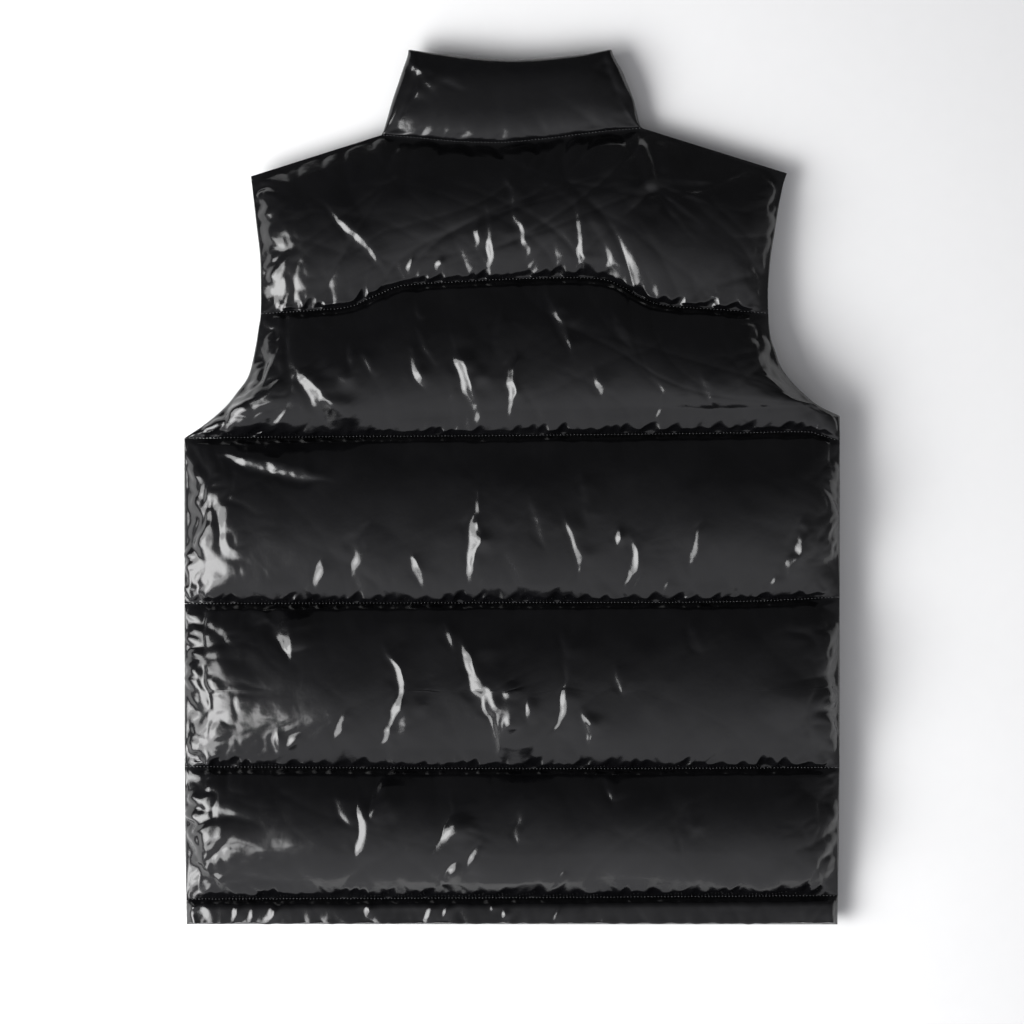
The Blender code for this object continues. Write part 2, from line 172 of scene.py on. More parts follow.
# Main creases. Each is a fold that steps up towards the right, so its left flank is steep:
# where it runs, how wide that flank is at its widest, how steep, and how far the fold
# fades out to the right. A negative slope steps down instead. Right is the side of +X
# as the run goes from its first point to its last.
CREASES = (  # strip, run of (x, y), flank, slope, fade
    # yoke
    ("back_yoke", ((-157, 238), (-149, 229), (-128, 207), (-110, 186)), 6.0, 0.5, 20),
    ("back_yoke", ((-30, 229), (-29, 218), (-30, 206)), 4.0, 0.5, 16),
    ("back_yoke", ((-22, 246), (-20, 222), (-18, 198), (-24, 181)), 5.0, 0.5, 20),
    ("back_yoke", ((-6, 263), (1, 246), (3, 232), (15, 196)), 5.5, 0.5, 22),
    ("back_yoke", ((53, 246), (58, 226), (60, 207), (54, 182)), 5.5, 0.5, 22),
    ("back_yoke", ((82, 193), (80, 186), (78, 179)), 4.0, 0.5, 12),
    ("back_yoke", ((109, 306), (122, 263), (112, 248), (99, 235)), 9.0, -0.5, 40),
    ("back_yoke", ((-60, 196), (-62, 188), (-57, 181)), 4.0, 0.5, 10),
    ("back_yoke", ((-84, 196), (-88, 187), (-87, 178)), 4.0, 0.5, 10),
    # channel 1
    ("back_channel_1", ((-83, 158), (-81, 150), (-78, 141)), 4.0, 0.5, 12),
    ("back_channel_1", ((-81, 134), (-74, 120), (-65, 102)), 4.5, 0.5, 14),
    ("back_channel_1", ((-86, 119), (-81, 96), (-72, 83)), 4.5, 0.5, 14),
    ("back_channel_1", ((-50, 126), (-47, 111), (-39, 86), (-31, 66), (-31, 44)), 7.2, 0.5, 30),
    ("back_channel_1", ((2, 117), (-3, 92), (0, 79), (-2, 54)), 5.0, 0.5, 18),
    ("back_channel_1", ((28, 169), (35, 147), (45, 130), (50, 113)), 6.0, 0.5, 24),
    ("back_channel_1", ((68, 100), (73, 86), (78, 75)), 4.5, 0.3, 18),
    ("back_channel_1", ((124, 89), (127, 75), (121, 53)), 4.5, 0.32, 18),
    ("back_channel_1", ((-180, 96), (-156, 66), (-144, 45)), 12.0, 0.5, 34),
    ("back_channel_1", ((-137, 122), (-136, 96)), 4.0, 0.5, 12),
    ("back_channel_1", ((-128, 113), (-116, 92)), 4.0, 0.5, 12),
    ("back_channel_1", ((-194, 62), (-207, 45)), 5.0, 0.5, 16),
    ("back_channel_1", ((-214, 128), (-209, 116)), 5.0, 0.5, 14),
    ("back_channel_1", ((-224, 78), (-206, 84), (-196, 92)), 7.0, 0.5, 18),
    ("back_channel_1", ((-250, 62), (-236, 66), (-222, 60)), 6.0, 0.5, 14),
    # channel 2
    ("back_channel_2", ((-250, 28), (-200, 16), (-157, 6)), 10.0, 0.5, 30),
    ("back_channel_2", ((-29, -2), (-31, -36), (-37, -84)), 6.5, 0.5, 26),
    ("back_channel_2", ((-85, -58), (-80, -72), (-74, -88)), 5.0, 0.5, 18),
    ("back_channel_2", ((43, -24), (56, -58), (57, -79)), 4.2, 0.42, 22),
    ("back_channel_2", ((99, -41), (105, -58), (96, -88)), 6.0, 0.5, 24),
    ("back_channel_2", ((109, -72), (101, -94)), 4.5, 0.5, 14),
    ("back_channel_2", ((133, -79), (127, -94)), 4.0, 0.5, 12),
    ("back_channel_2", ((90, -34), (88, -49)), 4.0, 0.5, 12),
    ("back_channel_2", ((246, -28), (242, -50), (235, -64), (232, -79)), 6.5, 0.5, 20),
    ("back_channel_2", ((223, -75), (219, -96)), 5.0, 0.5, 14),
    ("back_channel_2", ((15, -11), (30, -54)), 7.0, 0.22, 26),
    ("back_channel_2", ((59, 10), (65, -36)), 7.0, 0.22, 26),
    # channel 3
    ("back_channel_3", ((-224, -103), (-207, -115)), 9.0, 0.66, 8),
    ("back_channel_3", ((-207, -99), (-196, -112), (-189.5, -140)), 13.0, 0.5, 24),
    ("back_channel_3", ((-106, -139), (-96, -156), (-94, -173), (-102, -199), (-112, -220)), 7.5, 0.5, 28),
    ("back_channel_3", ((-57, -114), (-50, -139)), 4.5, 0.5, 14),
    ("back_channel_3", ((-43, -131), (-32, -161), (-19, -178), (-13, -212), (-13, -233)), 9.0, 0.5, 32),
    ("back_channel_3", ((-201, -208), (-199, -233)), 4.5, 0.5, 12),
    ("back_channel_3", ((-181, -208), (-192, -223)), 5.0, 0.5, 14),
    ("back_channel_3", ((-6, -195), (-8, -216)), 3.0, 0.4, 8),
    ("back_channel_3", ((14, -178), (14, -199)), 4.5, 0.5, 14),
    ("back_channel_3", ((45, -169), (41, -195), (33, -207)), 6.0, 0.5, 20),
    ("back_channel_3", ((57, -186), (65, -207), (64, -229)), 5.0, 0.5, 18),
    ("back_channel_3", ((87, -152), (94, -175)), 4.5, 0.3, 18),
    ("back_channel_3", ((40, -120), (48, -150), (45, -172)), 6.0, 0.2, 22),
    ("back_channel_3", ((150, -112), (158, -140)), 7.0, 0.18, 26),
    ("back_channel_3", ((-140, -190), (-150, -214)), 5.0, 0.26, 18),
    ("back_channel_2", ((-120, -30), (-135, -72)), 8.0, 0.2, 26),
    ("back_channel_2", ((160, -30), (152, -78)), 7.0, 0.18, 26),
    ("back_channel_2", ((-160, -60), (-168, -88)), 5.0, 0.24, 18),
    ("back_channel_1", ((-10, 150), (-16, 112)), 7.0, 0.2, 24),
    ("back_channel_1", ((86, 150), (100, 118)), 6.0, 0.22, 22),
    ("back_channel_1", ((160, 96), (172, 70)), 6.0, 0.22, 20),
    # channel 4
    ("back_channel_4", ((-150, -262), (-136, -286)), 6.0, 0.2, 22),
    ("back_channel_4", ((10, -262), (4, -300)), 7.0, 0.2, 24),
    ("back_channel_4", ((150, -268), (144, -310)), 7.0, 0.18, 26),
    ("back_channel_4", ((-130, -266), (-126, -289), (-132, -314)), 5.2, 0.5, 20),
    ("back_channel_4", ((-106, -246), (-120, -280)), 6.0, 0.5, 22),
    ("back_channel_4", ((-51, -267), (-50, -285), (-64, -306)), 6.5, 0.5, 24),
    ("back_channel_4", ((-47, -316), (-61, -340)), 5.0, 0.5, 16),
    ("back_channel_4", ((-27, -302), (-39, -326)), 5.0, 0.5, 18),
    ("back_channel_4", ((78, -243), (86, -267)), 5.0, 0.5, 18),
    ("back_channel_4", ((46, -326), (33, -344)), 5.0, 0.5, 14),
    ("back_channel_4", ((-275, -320), (-246, -348)), 7.0, 0.5, 18),
    # hem
    ("back_hem", ((-234, -356), (-240, -371)), 3.5, 0.5, 9),
    ("back_hem", ((-222, -357), (-225, -371)), 3.0, 0.5, 8),
    ("back_hem", ((-204, -357), (-211, -371)), 4.0, 0.5, 9),
    ("back_hem", ((-68, -356), (-75, -371)), 4.0, 0.5, 10),
    ("back_hem", ((41, -356), (35, -371)), 3.5, 0.5, 10),
    ("back_hem", ((-198, -355), (-204, -363), (-209, -371)), 3.5, 0.6, 7),
    ("back_hem", ((-124, -357), (-125, -368)), 3.0, 0.6, 8),
    ("back_hem", ((-56, -356), (-60, -369)), 2.8, 0.6, 8),
    ("back_hem", ((-18, -355), (-18, -363)), 2.6, 0.6, 7),
    ("back_hem", ((-7, -361), (-8, -370)), 2.6, 0.6, 7),
    ("back_hem", ((-278, -366), (-264, -357)), 5.0, -0.5, 10),
    # collar, back
    ("collar", ((-89, 361), (-79, 352), (-68, 338)), 6.0, 0.62, 16),
    ("collar", ((-88, 353), (-81, 345), (-85, 334)), 5.0, 0.5, 12),
    ("collar", ((-60, 349), (-40, 340)), 5.0, 0.25, 20),
    ("collar", ((92, 338), (99, 326), (104, 316)), 4.0, -0.4, 10),
)

# ------------------------------------------------------------------ curves and patches


def smooth(points, per=8):
    """Catmull-Rom through a table's points."""
    p = np.array(points, float)
    if len(p) < 3:
        return p
    p = np.vstack([2 * p[0] - p[1], p, 2 * p[-1] - p[-2]])
    t = np.linspace(0, 1, per, endpoint=False)[:, None]
    out = []
    for a, b, c, d in zip(p, p[1:], p[2:], p[3:]):
        out.append(
            0.5
            * (
                2 * b
                + (c - a) * t
                + (2 * a - 5 * b + 4 * c - d) * t**2
                + (3 * b - a - 3 * c + d) * t**3
            )
        )
    out = np.vstack([*out, p[-2]])
    out[:, 0] = np.clip(out[:, 0], -CHEST_HALF, CHEST_HALF)
    return out


def along(points, share):
    """Points at those shares of a polyline's length."""
    points = np.asarray(points, float)
    steps = np.linalg.norm(np.diff(points, axis=0), axis=1)
    reach = np.concatenate([[0], np.cumsum(steps)]) / steps.sum()
    return np.stack([np.interp(share, reach, points[:, k]) for k in (0, 1)], axis=-1)


def read(table, at, column=1):
    rows = np.array(table, float)
    return np.interp(at, rows[:, 0], rows[:, column])


def patch(edges, u, v):
    """Coons patch over a grid: u across, v up."""
    bottom, top, left, right = (np.asarray(e, float) for e in edges)
    b, t = along(bottom, u)[None], along(top, u)[None]
    l, r = along(left, v)[:, None], along(right, v)[:, None]
    uu, vv = u[None, :, None], v[:, None, None]
    return (
        (1 - vv) * b
        + vv * t
        + (1 - uu) * l
        + uu * r
        - (1 - uu) * (1 - vv) * bottom[0]
        - uu * (1 - vv) * bottom[-1]
        - (1 - uu) * vv * top[0]
        - uu * vv * top[-1]
    )


def crown(share):
    return (1 - np.abs(2 * np.clip(share, 0, 1) - 1) ** CROWN) ** BLUNT


def shoulder_off(distance, reach, blunt=SIDE_BLUNT):
    share = np.clip(distance / reach, 0, 1)
    return (1 - (1 - share) ** SIDE_CROWN) ** blunt


def soft_noise(shape, cell, scale, rng):
    """Smooth noise with features about scale across, on a grid of that cell size."""
    ny, nx = shape
    cy, cx = (max(2, int(n * cell / scale) + 2) for n in (ny, nx))
    coarse = rng.standard_normal((cy, cx))
    ys, xs = np.linspace(0, cy - 1.001, ny), np.linspace(0, cx - 1.001, nx)
    iy, ix = ys.astype(int), xs.astype(int)
    fy, fx = ys - iy, xs - ix
    fy, fx = fy * fy * (3 - 2 * fy), fx * fx * (3 - 2 * fx)
    iy1, ix1 = np.minimum(iy + 1, cy - 1), np.minimum(ix + 1, cx - 1)
    a = coarse[np.ix_(iy, ix)] * (1 - fx) + coarse[np.ix_(iy, ix1)] * fx
    b = coarse[np.ix_(iy1, ix)] * (1 - fx) + coarse[np.ix_(iy1, ix1)] * fx
    return a * (1 - fy)[:, None] + b * fy[:, None]


def soft_step(t, soft):
    """0 to 1 in a straight line, with short round corners."""
    soft_in = lambda q: np.where(
        q <= -soft, 0, np.where(q >= soft, q, (q + soft) ** 2 / (4 * soft))
    )
    return soft_in(t) - soft_in(t - 1)


def gathers(s, d, seed, spacing, depth, fall, slant=0.45, width=2.4, fan=0.22):
    """Sharp little valleys that start at a line of stitching and fan out as they fade.
    s is the place along the stitching and d the distance from it."""
    rng = np.random.default_rng(seed)
    total = np.zeros_like(s)
    at = s.min() - spacing
    while at < s.max() + spacing:
        at += spacing * rng.uniform(0.45, 1.65)
        deep = depth * rng.uniform(0.35, 1.25)
        reach = fall * rng.uniform(0.45, 1.9)
        lean, curl = rng.normal(0, slant), rng.normal(0, 0.010)
        wide = width * rng.uniform(0.7, 1.5)
        near = d < reach * 4
        sn, dn = s[near], d[near]
        off = np.abs(sn - at - lean * dn - curl * dn * dn) / (wide + fan * dn)
        # sharp at the bottom, flattening out between the valleys
        valley = np.exp(-off) * (1 + 0.35 * off)
        total[near] -= deep * valley * np.exp(-dn / reach) * np.clip(1 - dn / (4.0 * reach), 0, 1) ** 2
    return total


def drawn_width(s, seed, least, spacing, most):
    """How far from the stitching a channel is still drawn down: a jagged line of peaks."""
    rng = np.random.default_rng(seed)
    total = np.full_like(s, least)
    at = s.min() - spacing
    while at < s.max() + spacing:
        at += spacing * rng.uniform(0.3, 1.7)
        tall = most * rng.uniform(0.12, 1.0) ** 1.5
        left, right = rng.uniform(0.25, 1.0, 2) * spacing * 0.62
        share = np.where(s < at, (at - s) / left, (s - at) / right)
        total = np.maximum(total, least + tall * (1 - np.clip(share, 0, 1)))
    return total


def crease_heights(name, x, y):
    """What the creases of one strip add to its outer side."""
    total = np.zeros_like(x)
    rng = np.random.default_rng(77)
    ragged = 0.9 * noise_at(x, y, 9.0, rng) + 0.45 * noise_at(x, y, 4.5, rng)
    uneven = noise_at(x, y, 13.0, rng)
    for strip_name, run, flank, slope, fade in CREASES:
        if strip_name != name:
            continue
        run = smooth(run, 6)
        steps = np.linalg.norm(np.diff(run, axis=0), axis=1)
        reach = np.concatenate([[0], np.cumsum(steps)])
        near = (
            (x > run[:, 0].min() - fade * 3)
            & (x < run[:, 0].max() + fade * 3)
            & (y > run[:, 1].min() - 30)
            & (y < run[:, 1].max() + 30)
        )
        if not near.any():
            continue
        px, py = x[near], y[near]
        rag, vary = ragged[near], uneven[near]
        right = -1 if run[-1][1] > run[0][1] else 1
        best = np.full(px.shape, 1e9)
        signed, place, beyond = np.zeros_like(px), np.zeros_like(px), np.zeros_like(px)
        for (ax, ay), (bx, by), start, step in zip(run, run[1:], reach, steps):
            dx, dy = (bx - ax) / step, (by - ay) / step
            free = (px - ax) * dx + (py - ay) * dy
            t = np.clip(free, 0, step)
            away = np.hypot(px - ax - t * dx, py - ay - t * dy)
            closer = away < best
            best = np.where(closer, away, best)
            # positive on the side that lies towards +X, measured from the run's own line
            offset = ((py - ay) * dx - (px - ax) * dy) * right
            signed = np.where(closer, offset, signed)
            place = np.where(closer, (start + t) / reach[-1], place)
            beyond = np.where(closer, np.abs(free - t), beyond)
        taper = np.sin(np.pi * np.clip(place, 0, 1)) ** 0.75
        width = 0.88 * flank * (0.16 + 0.84 * taper) * np.clip(1 + 0.28 * vary, 0.5, 1.5)
        signed = signed + rag * min(1.0, flank / 6.0)
        # a straight flank catches one light along its whole width
        rise = soft_step(signed / width + 0.5, 0.24) * width * abs(slope) * (1 + 0.16 * vary)
        out = np.clip(signed - width / 2, 0, None)
        fall = np.exp(-((out / (fade * 0.62)) ** 1.6))
        before = -0.10 * width * np.exp(-(((signed + width * 0.95) / (width * 0.55)) ** 2))
        ends = np.exp(-((beyond / (0.5 * flank + 1.5)) ** 2))
        total[near] += np.sign(slope) * ends * (rise * fall + before)
    return total


# ------------------------------------------------------------------ cloth relaxation


def settle(points, target, normal, rest, hold, steps, press, bend, reach, floor):
    """Relaxes a grid of cloth. rest: lengths of its edges; hold: pinned points;
    press: how firmly the filling pushes back; bend: stiffness; reach: most movement."""
    across, up, slant_a, slant_b = rest
    pinned = points[hold].copy()
    flat_across = (across[:, :-1] + across[:, 1:]) * 0.998
    flat_up = (up[:-1] + up[1:]) * 0.998

    def pull(a, b, length, share, only_short=False):
        if not length.size:
            return
        pa, pb = points[a], points[b]
        d = pb - pa
        size = np.sqrt(np.einsum("ijk,ijk->ij", d, d)) + 1e-9
        c = (size - length) / size * (0.5 * share)
        if only_short:
            c = np.minimum(c, 0)
        d *= c[..., None]
        points[a] += d
        points[b] -= d

    every = slice(None)
    for _ in range(steps):
        off = ((target - points) * normal).sum(-1) * press
        points += off[..., None] * normal
        for s in (0, 1):
            n = across[:, s::2].shape[1]
            pull(
                (every, slice(s, s + 2 * n - 1, 2)),
                (every, slice(s + 1, s + 2 * n, 2)),
                across[:, s::2],
                0.9,
            )
            n = up[s::2].shape[0]
            pull(
                (slice(s, s + 2 * n - 1, 2), every),
                (slice(s + 1, s + 2 * n, 2), every),
                up[s::2],
                0.9,
            )
        for s in (0, 1):
            n = slant_a[s::2].shape[0]
            rows, next_rows = slice(s, s + 2 * n - 1, 2), slice(s + 1, s + 2 * n, 2)
            pull((rows, slice(0, -1)), (next_rows, slice(1, None)), slant_a[s::2], 0.45)
            pull((rows, slice(1, None)), (next_rows, slice(0, -1)), slant_b[s::2], 0.45)
        for s in range(4):
            n = flat_across[:, s::4].shape[1]
            pull(
                (every, slice(s, s + 4 * n - 3, 4)),
                (every, slice(s + 2, s + 4 * n - 1, 4)),
                flat_across[:, s::4],
                bend,
                True,
            )
            n = flat_up[s::4].shape[0]
            pull(
                (slice(s, s + 4 * n - 3, 4), every),
                (slice(s + 2, s + 4 * n - 1, 4), every),
                flat_up[s::4],
                bend,
                True,
            )
        if floor is not None:
            np.maximum(points[..., 2], floor, out=points[..., 2])
        points[hold] = pinned
    moved = points - target
    far = np.linalg.norm(moved, axis=-1)
    points -= moved * np.clip(1 - reach / np.maximum(far, 1e-6), 0, None)[..., None]
    return points


def normals_of(points):
    du = np.gradient(points, axis=1)
    dv = np.gradient(points, axis=0)
    n = np.cross(du, dv)
    return n / np.maximum(np.linalg.norm(n, axis=-1, keepdims=True), 1e-9)


def finer(field):
    """Twice as many cells each way, by straight-line interpolation."""
    for axis in (0, 1):
        f = np.moveaxis(field, axis, 0)
        out = np.empty((2 * f.shape[0] - 1, *f.shape[1:]), f.dtype)
        out[::2] = f
        out[1::2] = (f[:-1] + f[1:]) / 2
        field = np.moveaxis(out, 0, axis)
    return field


def even_shares(curve, count):
    """Shares at which a densely sampled 3-D curve is cut into count equal lengths."""
    steps = np.linalg.norm(np.diff(curve, axis=0), axis=1)
    reach = np.concatenate([[0], np.cumsum(steps)]) / steps.sum()
    return np.interp(np.linspace(0, 1, count + 1), reach, np.linspace(0, 1, len(curve)))


def length_of(curve):
    return np.linalg.norm(np.diff(curve, axis=0), axis=1).sum()


SHARES = (0.55, 0.8, 1.0)


def relax(shape, spare, cell, levels, seed, press, bend, reach, floor=None, steps=90, bumps=1.0, fence=True):
    """Settled outer side of a strip. shape(u, v) gives its smooth form and spare(u, v, p)
    the spare length across and up, as shares. Coarse folds first, then finer ones."""
    dense = np.linspace(0, 1, 400)
    middle = np.array([0.49, 0.5, 0.51])
    row, column = shape(dense, middle)[1], shape(middle, dense)[:, 1]
    whole = 2 ** (levels - 1)
    columns = whole * max(2, round(length_of(row) / cell / whole))
    rows = whole * max(2, round(length_of(column) / cell / whole))
    us, vs = even_shares(row, columns), even_shares(column, rows)
    rng = np.random.default_rng(seed)
    offset = None
    for level in range(levels - 1, -1, -1):
        skip = 2**level
        u, v = us[::skip], vs[::skip]
        base = shape(u, v)
        normal = normals_of(base)
        g_across, g_up = spare(u, v, base)
        # folds form large first, and what is left for the small ones is less
        g_across, g_up = g_across * SHARES[level], g_up * SHARES[level]
        size = cell * skip
        stretch = lambda a, b, g: np.linalg.norm(b - a, axis=-1) * (1 + g)
        rest = (
            stretch(base[:, :-1], base[:, 1:], (g_across[:, :-1] + g_across[:, 1:]) / 2),
            stretch(base[:-1], base[1:], (g_up[:-1] + g_up[1:]) / 2),
            stretch(base[:-1, :-1], base[1:, 1:], (g_across + g_up)[:-1, :-1] / 2),
            stretch(base[:-1, 1:], base[1:, :-1], (g_across + g_up)[:-1, 1:] / 2),
        )
        hold = np.zeros(base.shape[:2], bool)
        hold[0] = hold[-1] = True
        hold[:, 0] = hold[:, -1] = True
        noise = soft_noise(base.shape[:2], size, size * 2.5, rng)
        noise += 0.8 * soft_noise(base.shape[:2], size, size * 6, rng)
        noise *= bumps * 0.1 * size * (1.0 if offset is None else 0.25)
        points = base + (0 if offset is None else offset)
        points = points + (noise * ~hold)[..., None] * normal
        points = settle(
            points,
            base,
            normal,
            rest,
            hold,
            steps,
            press * (1 if level else 1.0),
            bend,
            reach,
            floor,
        )
        offset = points - base
        if level:
            offset = finer(offset)
            offset[:, 0] = offset[:, -1] = 0
            offset[0] = offset[-1] = 0
    # cloth is smooth at the size of one cell
    for _ in range(2):
        inner = points[1:-1, 1:-1]
        around = (points[:-2, 1:-1] + points[2:, 1:-1] + points[1:-1, :-2] + points[1:-1, 2:]) / 4
        points[1:-1, 1:-1] = inner * 0.5 + around * 0.5
    # nothing crosses its own seams
    low_y, high_y = base[0, :, 1][None], base[-1, :, 1][None]
    points[..., 1] = np.clip(points[..., 1], np.minimum(low_y, high_y), np.maximum(low_y, high_y))
    if fence:
        left_x, right_x = base[:, 0, 0][:, None], base[:, -1, 0][:, None]
        points[..., 0] = np.clip(points[..., 0], left_x, right_x)
    return points, us, vs


# ------------------------------------------------------------------ meshes


def mesh_object(name, verts, faces, mats=()):
    mesh = bpy.data.meshes.new(name)
    mesh.from_pydata([tuple(v) for v in verts], [], [tuple(f) for f in faces])
    mesh.validate()
    mesh.update()
    for m in mats:
        mesh.materials.append(m)
    obj = bpy.data.objects.new(name, mesh)
    bpy.context.scene.collection.objects.link(obj)
    return obj


def closed_strip(name, outer, inner_height, every, flip, mat):
    """A closed piece: the settled outer sheet, a lining, and a narrow wall between them.
    inner_height(x, y) is the lining. every: lining columns are this much wider."""
    rows, columns = outer.shape[0] - 1, outer.shape[1] - 1
    index = np.arange((rows + 1) * (columns + 1)).reshape(rows + 1, columns + 1)
    verts = [outer.reshape(-1, 3)]
    quads = np.stack([index[:-1, :-1], index[:-1, 1:], index[1:, 1:], index[1:, :-1]], -1)
    faces = quads.reshape(-1, 4).tolist()
    # a ring of the lining under each edge point, then wide rows of it
    keep = sorted({*range(0, columns, every), columns})
    under = -np.ones((rows + 1, columns + 1), int)
    count = index.size
    lining = []
    for i in range(rows + 1):
        for j in range(columns + 1) if i in (0, rows) else keep:
            x, y = outer[i, j, 0], outer[i, j, 1]
            lining.append((x, y, inner_height(x, y, i in (0, rows) or j in (0, columns))))
            under[i, j] = count
            count += 1
    verts.append(np.array(lining))
    for i in range(rows):
        for a, b in zip(keep, keep[1:]):
            low = [under[i, j] for j in range(a, b + 1)] if i == 0 else [under[i, a], under[i, b]]
            high = (
                [under[i + 1, j] for j in range(b, a - 1, -1)]
                if i + 1 == rows
                else [under[i + 1, b], under[i + 1, a]]
            )
            faces.append([*low, *high][::-1])
    for i, order in ((0, 1), (rows, -1)):
        for j in range(columns):
            f = [index[i, j], under[i, j], under[i, j + 1], index[i, j + 1]]
            faces.append(f[::order])
    for j, order in ((0, -1), (columns, 1)):
        for i in range(rows):
            f = [index[i, j], under[i, j], under[i + 1, j], index[i + 1, j]]
            faces.append(f[::order])
    if flip:
        faces = [f[::-1] for f in faces]
    obj = mesh_object(name, np.vstack(verts) * MM, faces, [mat])
    obj.data.shade_smooth()
    obj.data.set_sharp_from_angle(angle=math.radians(75))
    return obj


# ------------------------------------------------------------------ materials


def shader_of(name):
    mat = bpy.data.materials.new(name)
    mat.use_nodes = True
    return mat, mat.node_tree, mat.node_tree.nodes["Principled BSDF"]


def node(tree, kind, **values):
    made = tree.nodes.new(kind)
    for key, value in values.items():
        if key in made.inputs:
            made.inputs[key].default_value = value
        else:
            setattr(made, key, value)
    return made


def ramp(tree, source, low, high, at=(0.3, 0.7)):
    """Maps a grey value to a range of plain numbers."""
    made = node(tree, "ShaderNodeMapRange")
    made.inputs["From Min"].default_value = at[0]
    made.inputs["From Max"].default_value = at[1]
    made.inputs["To Min"].default_value = low
    made.inputs["To Max"].default_value = high
    tree.links.new(source, made.inputs["Value"])
    return made.outputs["Result"]


def colour_mix(tree, factor, a, b):
    mix = node(tree, "ShaderNodeMix", data_type="RGBA")
    # a mix node has a socket of each kind under one name, so the colour ones go by place
    mix.inputs[6].default_value = (*a, 1)
    mix.inputs[7].default_value = (*b, 1)
    tree.links.new(factor, mix.inputs[0])
    return mix.outputs[2]


def coated_nylon():
    """Black nylon under a wet-look coat: a fine plain weave, faint crinkle in the coat."""
    mat, tree, shader = shader_of("coated_nylon")
    place = node(tree, "ShaderNodeTexCoord").outputs["Object"]
    cloudy = node(tree, "ShaderNodeTexNoise", Scale=34.0, Detail=3.0, Roughness=0.55)
    crinkle = node(tree, "ShaderNodeTexNoise", Scale=210.0, Detail=2.5, Roughness=0.6)
    ripple = node(tree, "ShaderNodeTexNoise", Scale=75.0, Detail=2.0, Roughness=0.5)
    warp = node(tree, "ShaderNodeTexWave", Scale=520.0, Distortion=0.6, Detail=1.0)
    weft = node(tree, "ShaderNodeTexWave", Scale=560.0, Distortion=0.6, Detail=1.0)
    weft.bands_direction = "Y"
    for texture in (cloudy, crinkle, ripple, warp, weft):
        tree.links.new(place, texture.inputs["Vector"])
    tree.links.new(
        colour_mix(
            tree,
            ramp(tree, cloudy.outputs["Fac"], 0, 1),
            (0.0018, 0.0018, 0.0022),
            (0.0032, 0.0032, 0.0037),
        ),
        shader.inputs["Base Color"],
    )
    tree.links.new(
        ramp(tree, cloudy.outputs["Fac"], 0.13, 0.20), shader.inputs["Roughness"]
    )
    shader.inputs["Specular IOR Level"].default_value = 0.5
    shader.inputs["IOR"].default_value = 1.5
    weave = node(tree, "ShaderNodeMath", operation="MULTIPLY")
    tree.links.new(warp.outputs["Fac"], weave.inputs[0])
    tree.links.new(weft.outputs["Fac"], weave.inputs[1])
    first = node(tree, "ShaderNodeBump", Strength=0.35, Distance=0.0006)
    tree.links.new(ripple.outputs["Fac"], first.inputs["Height"])
    second = node(tree, "ShaderNodeBump", Strength=0.4, Distance=0.0002)
    tree.links.new(crinkle.outputs["Fac"], second.inputs["Height"])
    tree.links.new(first.outputs["Normal"], second.inputs["Normal"])
    third = node(tree, "ShaderNodeBump", Strength=0.2, Distance=0.00002)
    tree.links.new(weave.outputs["Value"], third.inputs["Height"])
    tree.links.new(second.outputs["Normal"], third.inputs["Normal"])
    tree.links.new(third.outputs["Normal"], shader.inputs["Normal"])
    return mat


def plain_black(name, low, high, rough, metallic, scale, bump):
    mat, tree, shader = shader_of(name)
    place = node(tree, "ShaderNodeTexCoord").outputs["Object"]
    grain = node(tree, "ShaderNodeTexNoise", Scale=scale, Detail=4.0, Roughness=0.6)
    tree.links.new(place, grain.inputs["Vector"])
    tree.links.new(
        colour_mix(tree, ramp(tree, grain.outputs["Fac"], 0, 1), low, high),
        shader.inputs["Base Color"],
    )
    tree.links.new(ramp(tree, grain.outputs["Fac"], *rough), shader.inputs["Roughness"])
    shader.inputs["Metallic"].default_value = metallic
    lumps = node(tree, "ShaderNodeBump", Strength=0.3, Distance=bump)
    tree.links.new(grain.outputs["Fac"], lumps.inputs["Height"])
    tree.links.new(lumps.outputs["Normal"], shader.inputs["Normal"])
    return mat


def woven_tape():
    mat, tree, shader = shader_of("zip_tape_weave")
    place = node(tree, "ShaderNodeTexCoord").outputs["Object"]
    rib = node(tree, "ShaderNodeTexWave", Scale=330.0, Distortion=1.5, Detail=2.0)
    rib.bands_direction = "DIAGONAL"
    fuzz = node(tree, "ShaderNodeTexNoise", Scale=900.0, Detail=3.0)
    for texture in (rib, fuzz):
        tree.links.new(place, texture.inputs["Vector"])
    tree.links.new(
        colour_mix(tree, rib.outputs["Fac"], (0.006, 0.006, 0.007), (0.018, 0.018, 0.019)),
        shader.inputs["Base Color"],
    )
    tree.links.new(ramp(tree, fuzz.outputs["Fac"], 0.62, 0.85), shader.inputs["Roughness"])
    shader.inputs["Sheen Weight"].default_value = 0.25
    lumps = node(tree, "ShaderNodeBump", Strength=0.6, Distance=0.0002)
    tree.links.new(rib.outputs["Fac"], lumps.inputs["Height"])
    tree.links.new(lumps.outputs["Normal"], shader.inputs["Normal"])
    return mat


NYLON = coated_nylon()
THREAD = plain_black("sewing_thread", (0.03, 0.03, 0.032), (0.075, 0.075, 0.08), (0.2, 0.35), 0.0, 1500.0, 0.0001)
RESIN = plain_black("zip_resin", (0.01, 0.01, 0.011), (0.02, 0.02, 0.021), (0.28, 0.42), 0.0, 700.0, 0.0001)
LACQUER = plain_black("zip_lacquer", (0.012, 0.012, 0.013), (0.03, 0.03, 0.032), (0.22, 0.38), 0.6, 500.0, 0.00008)
TAPE = woven_tape()

# ------------------------------------------------------------------ the strips

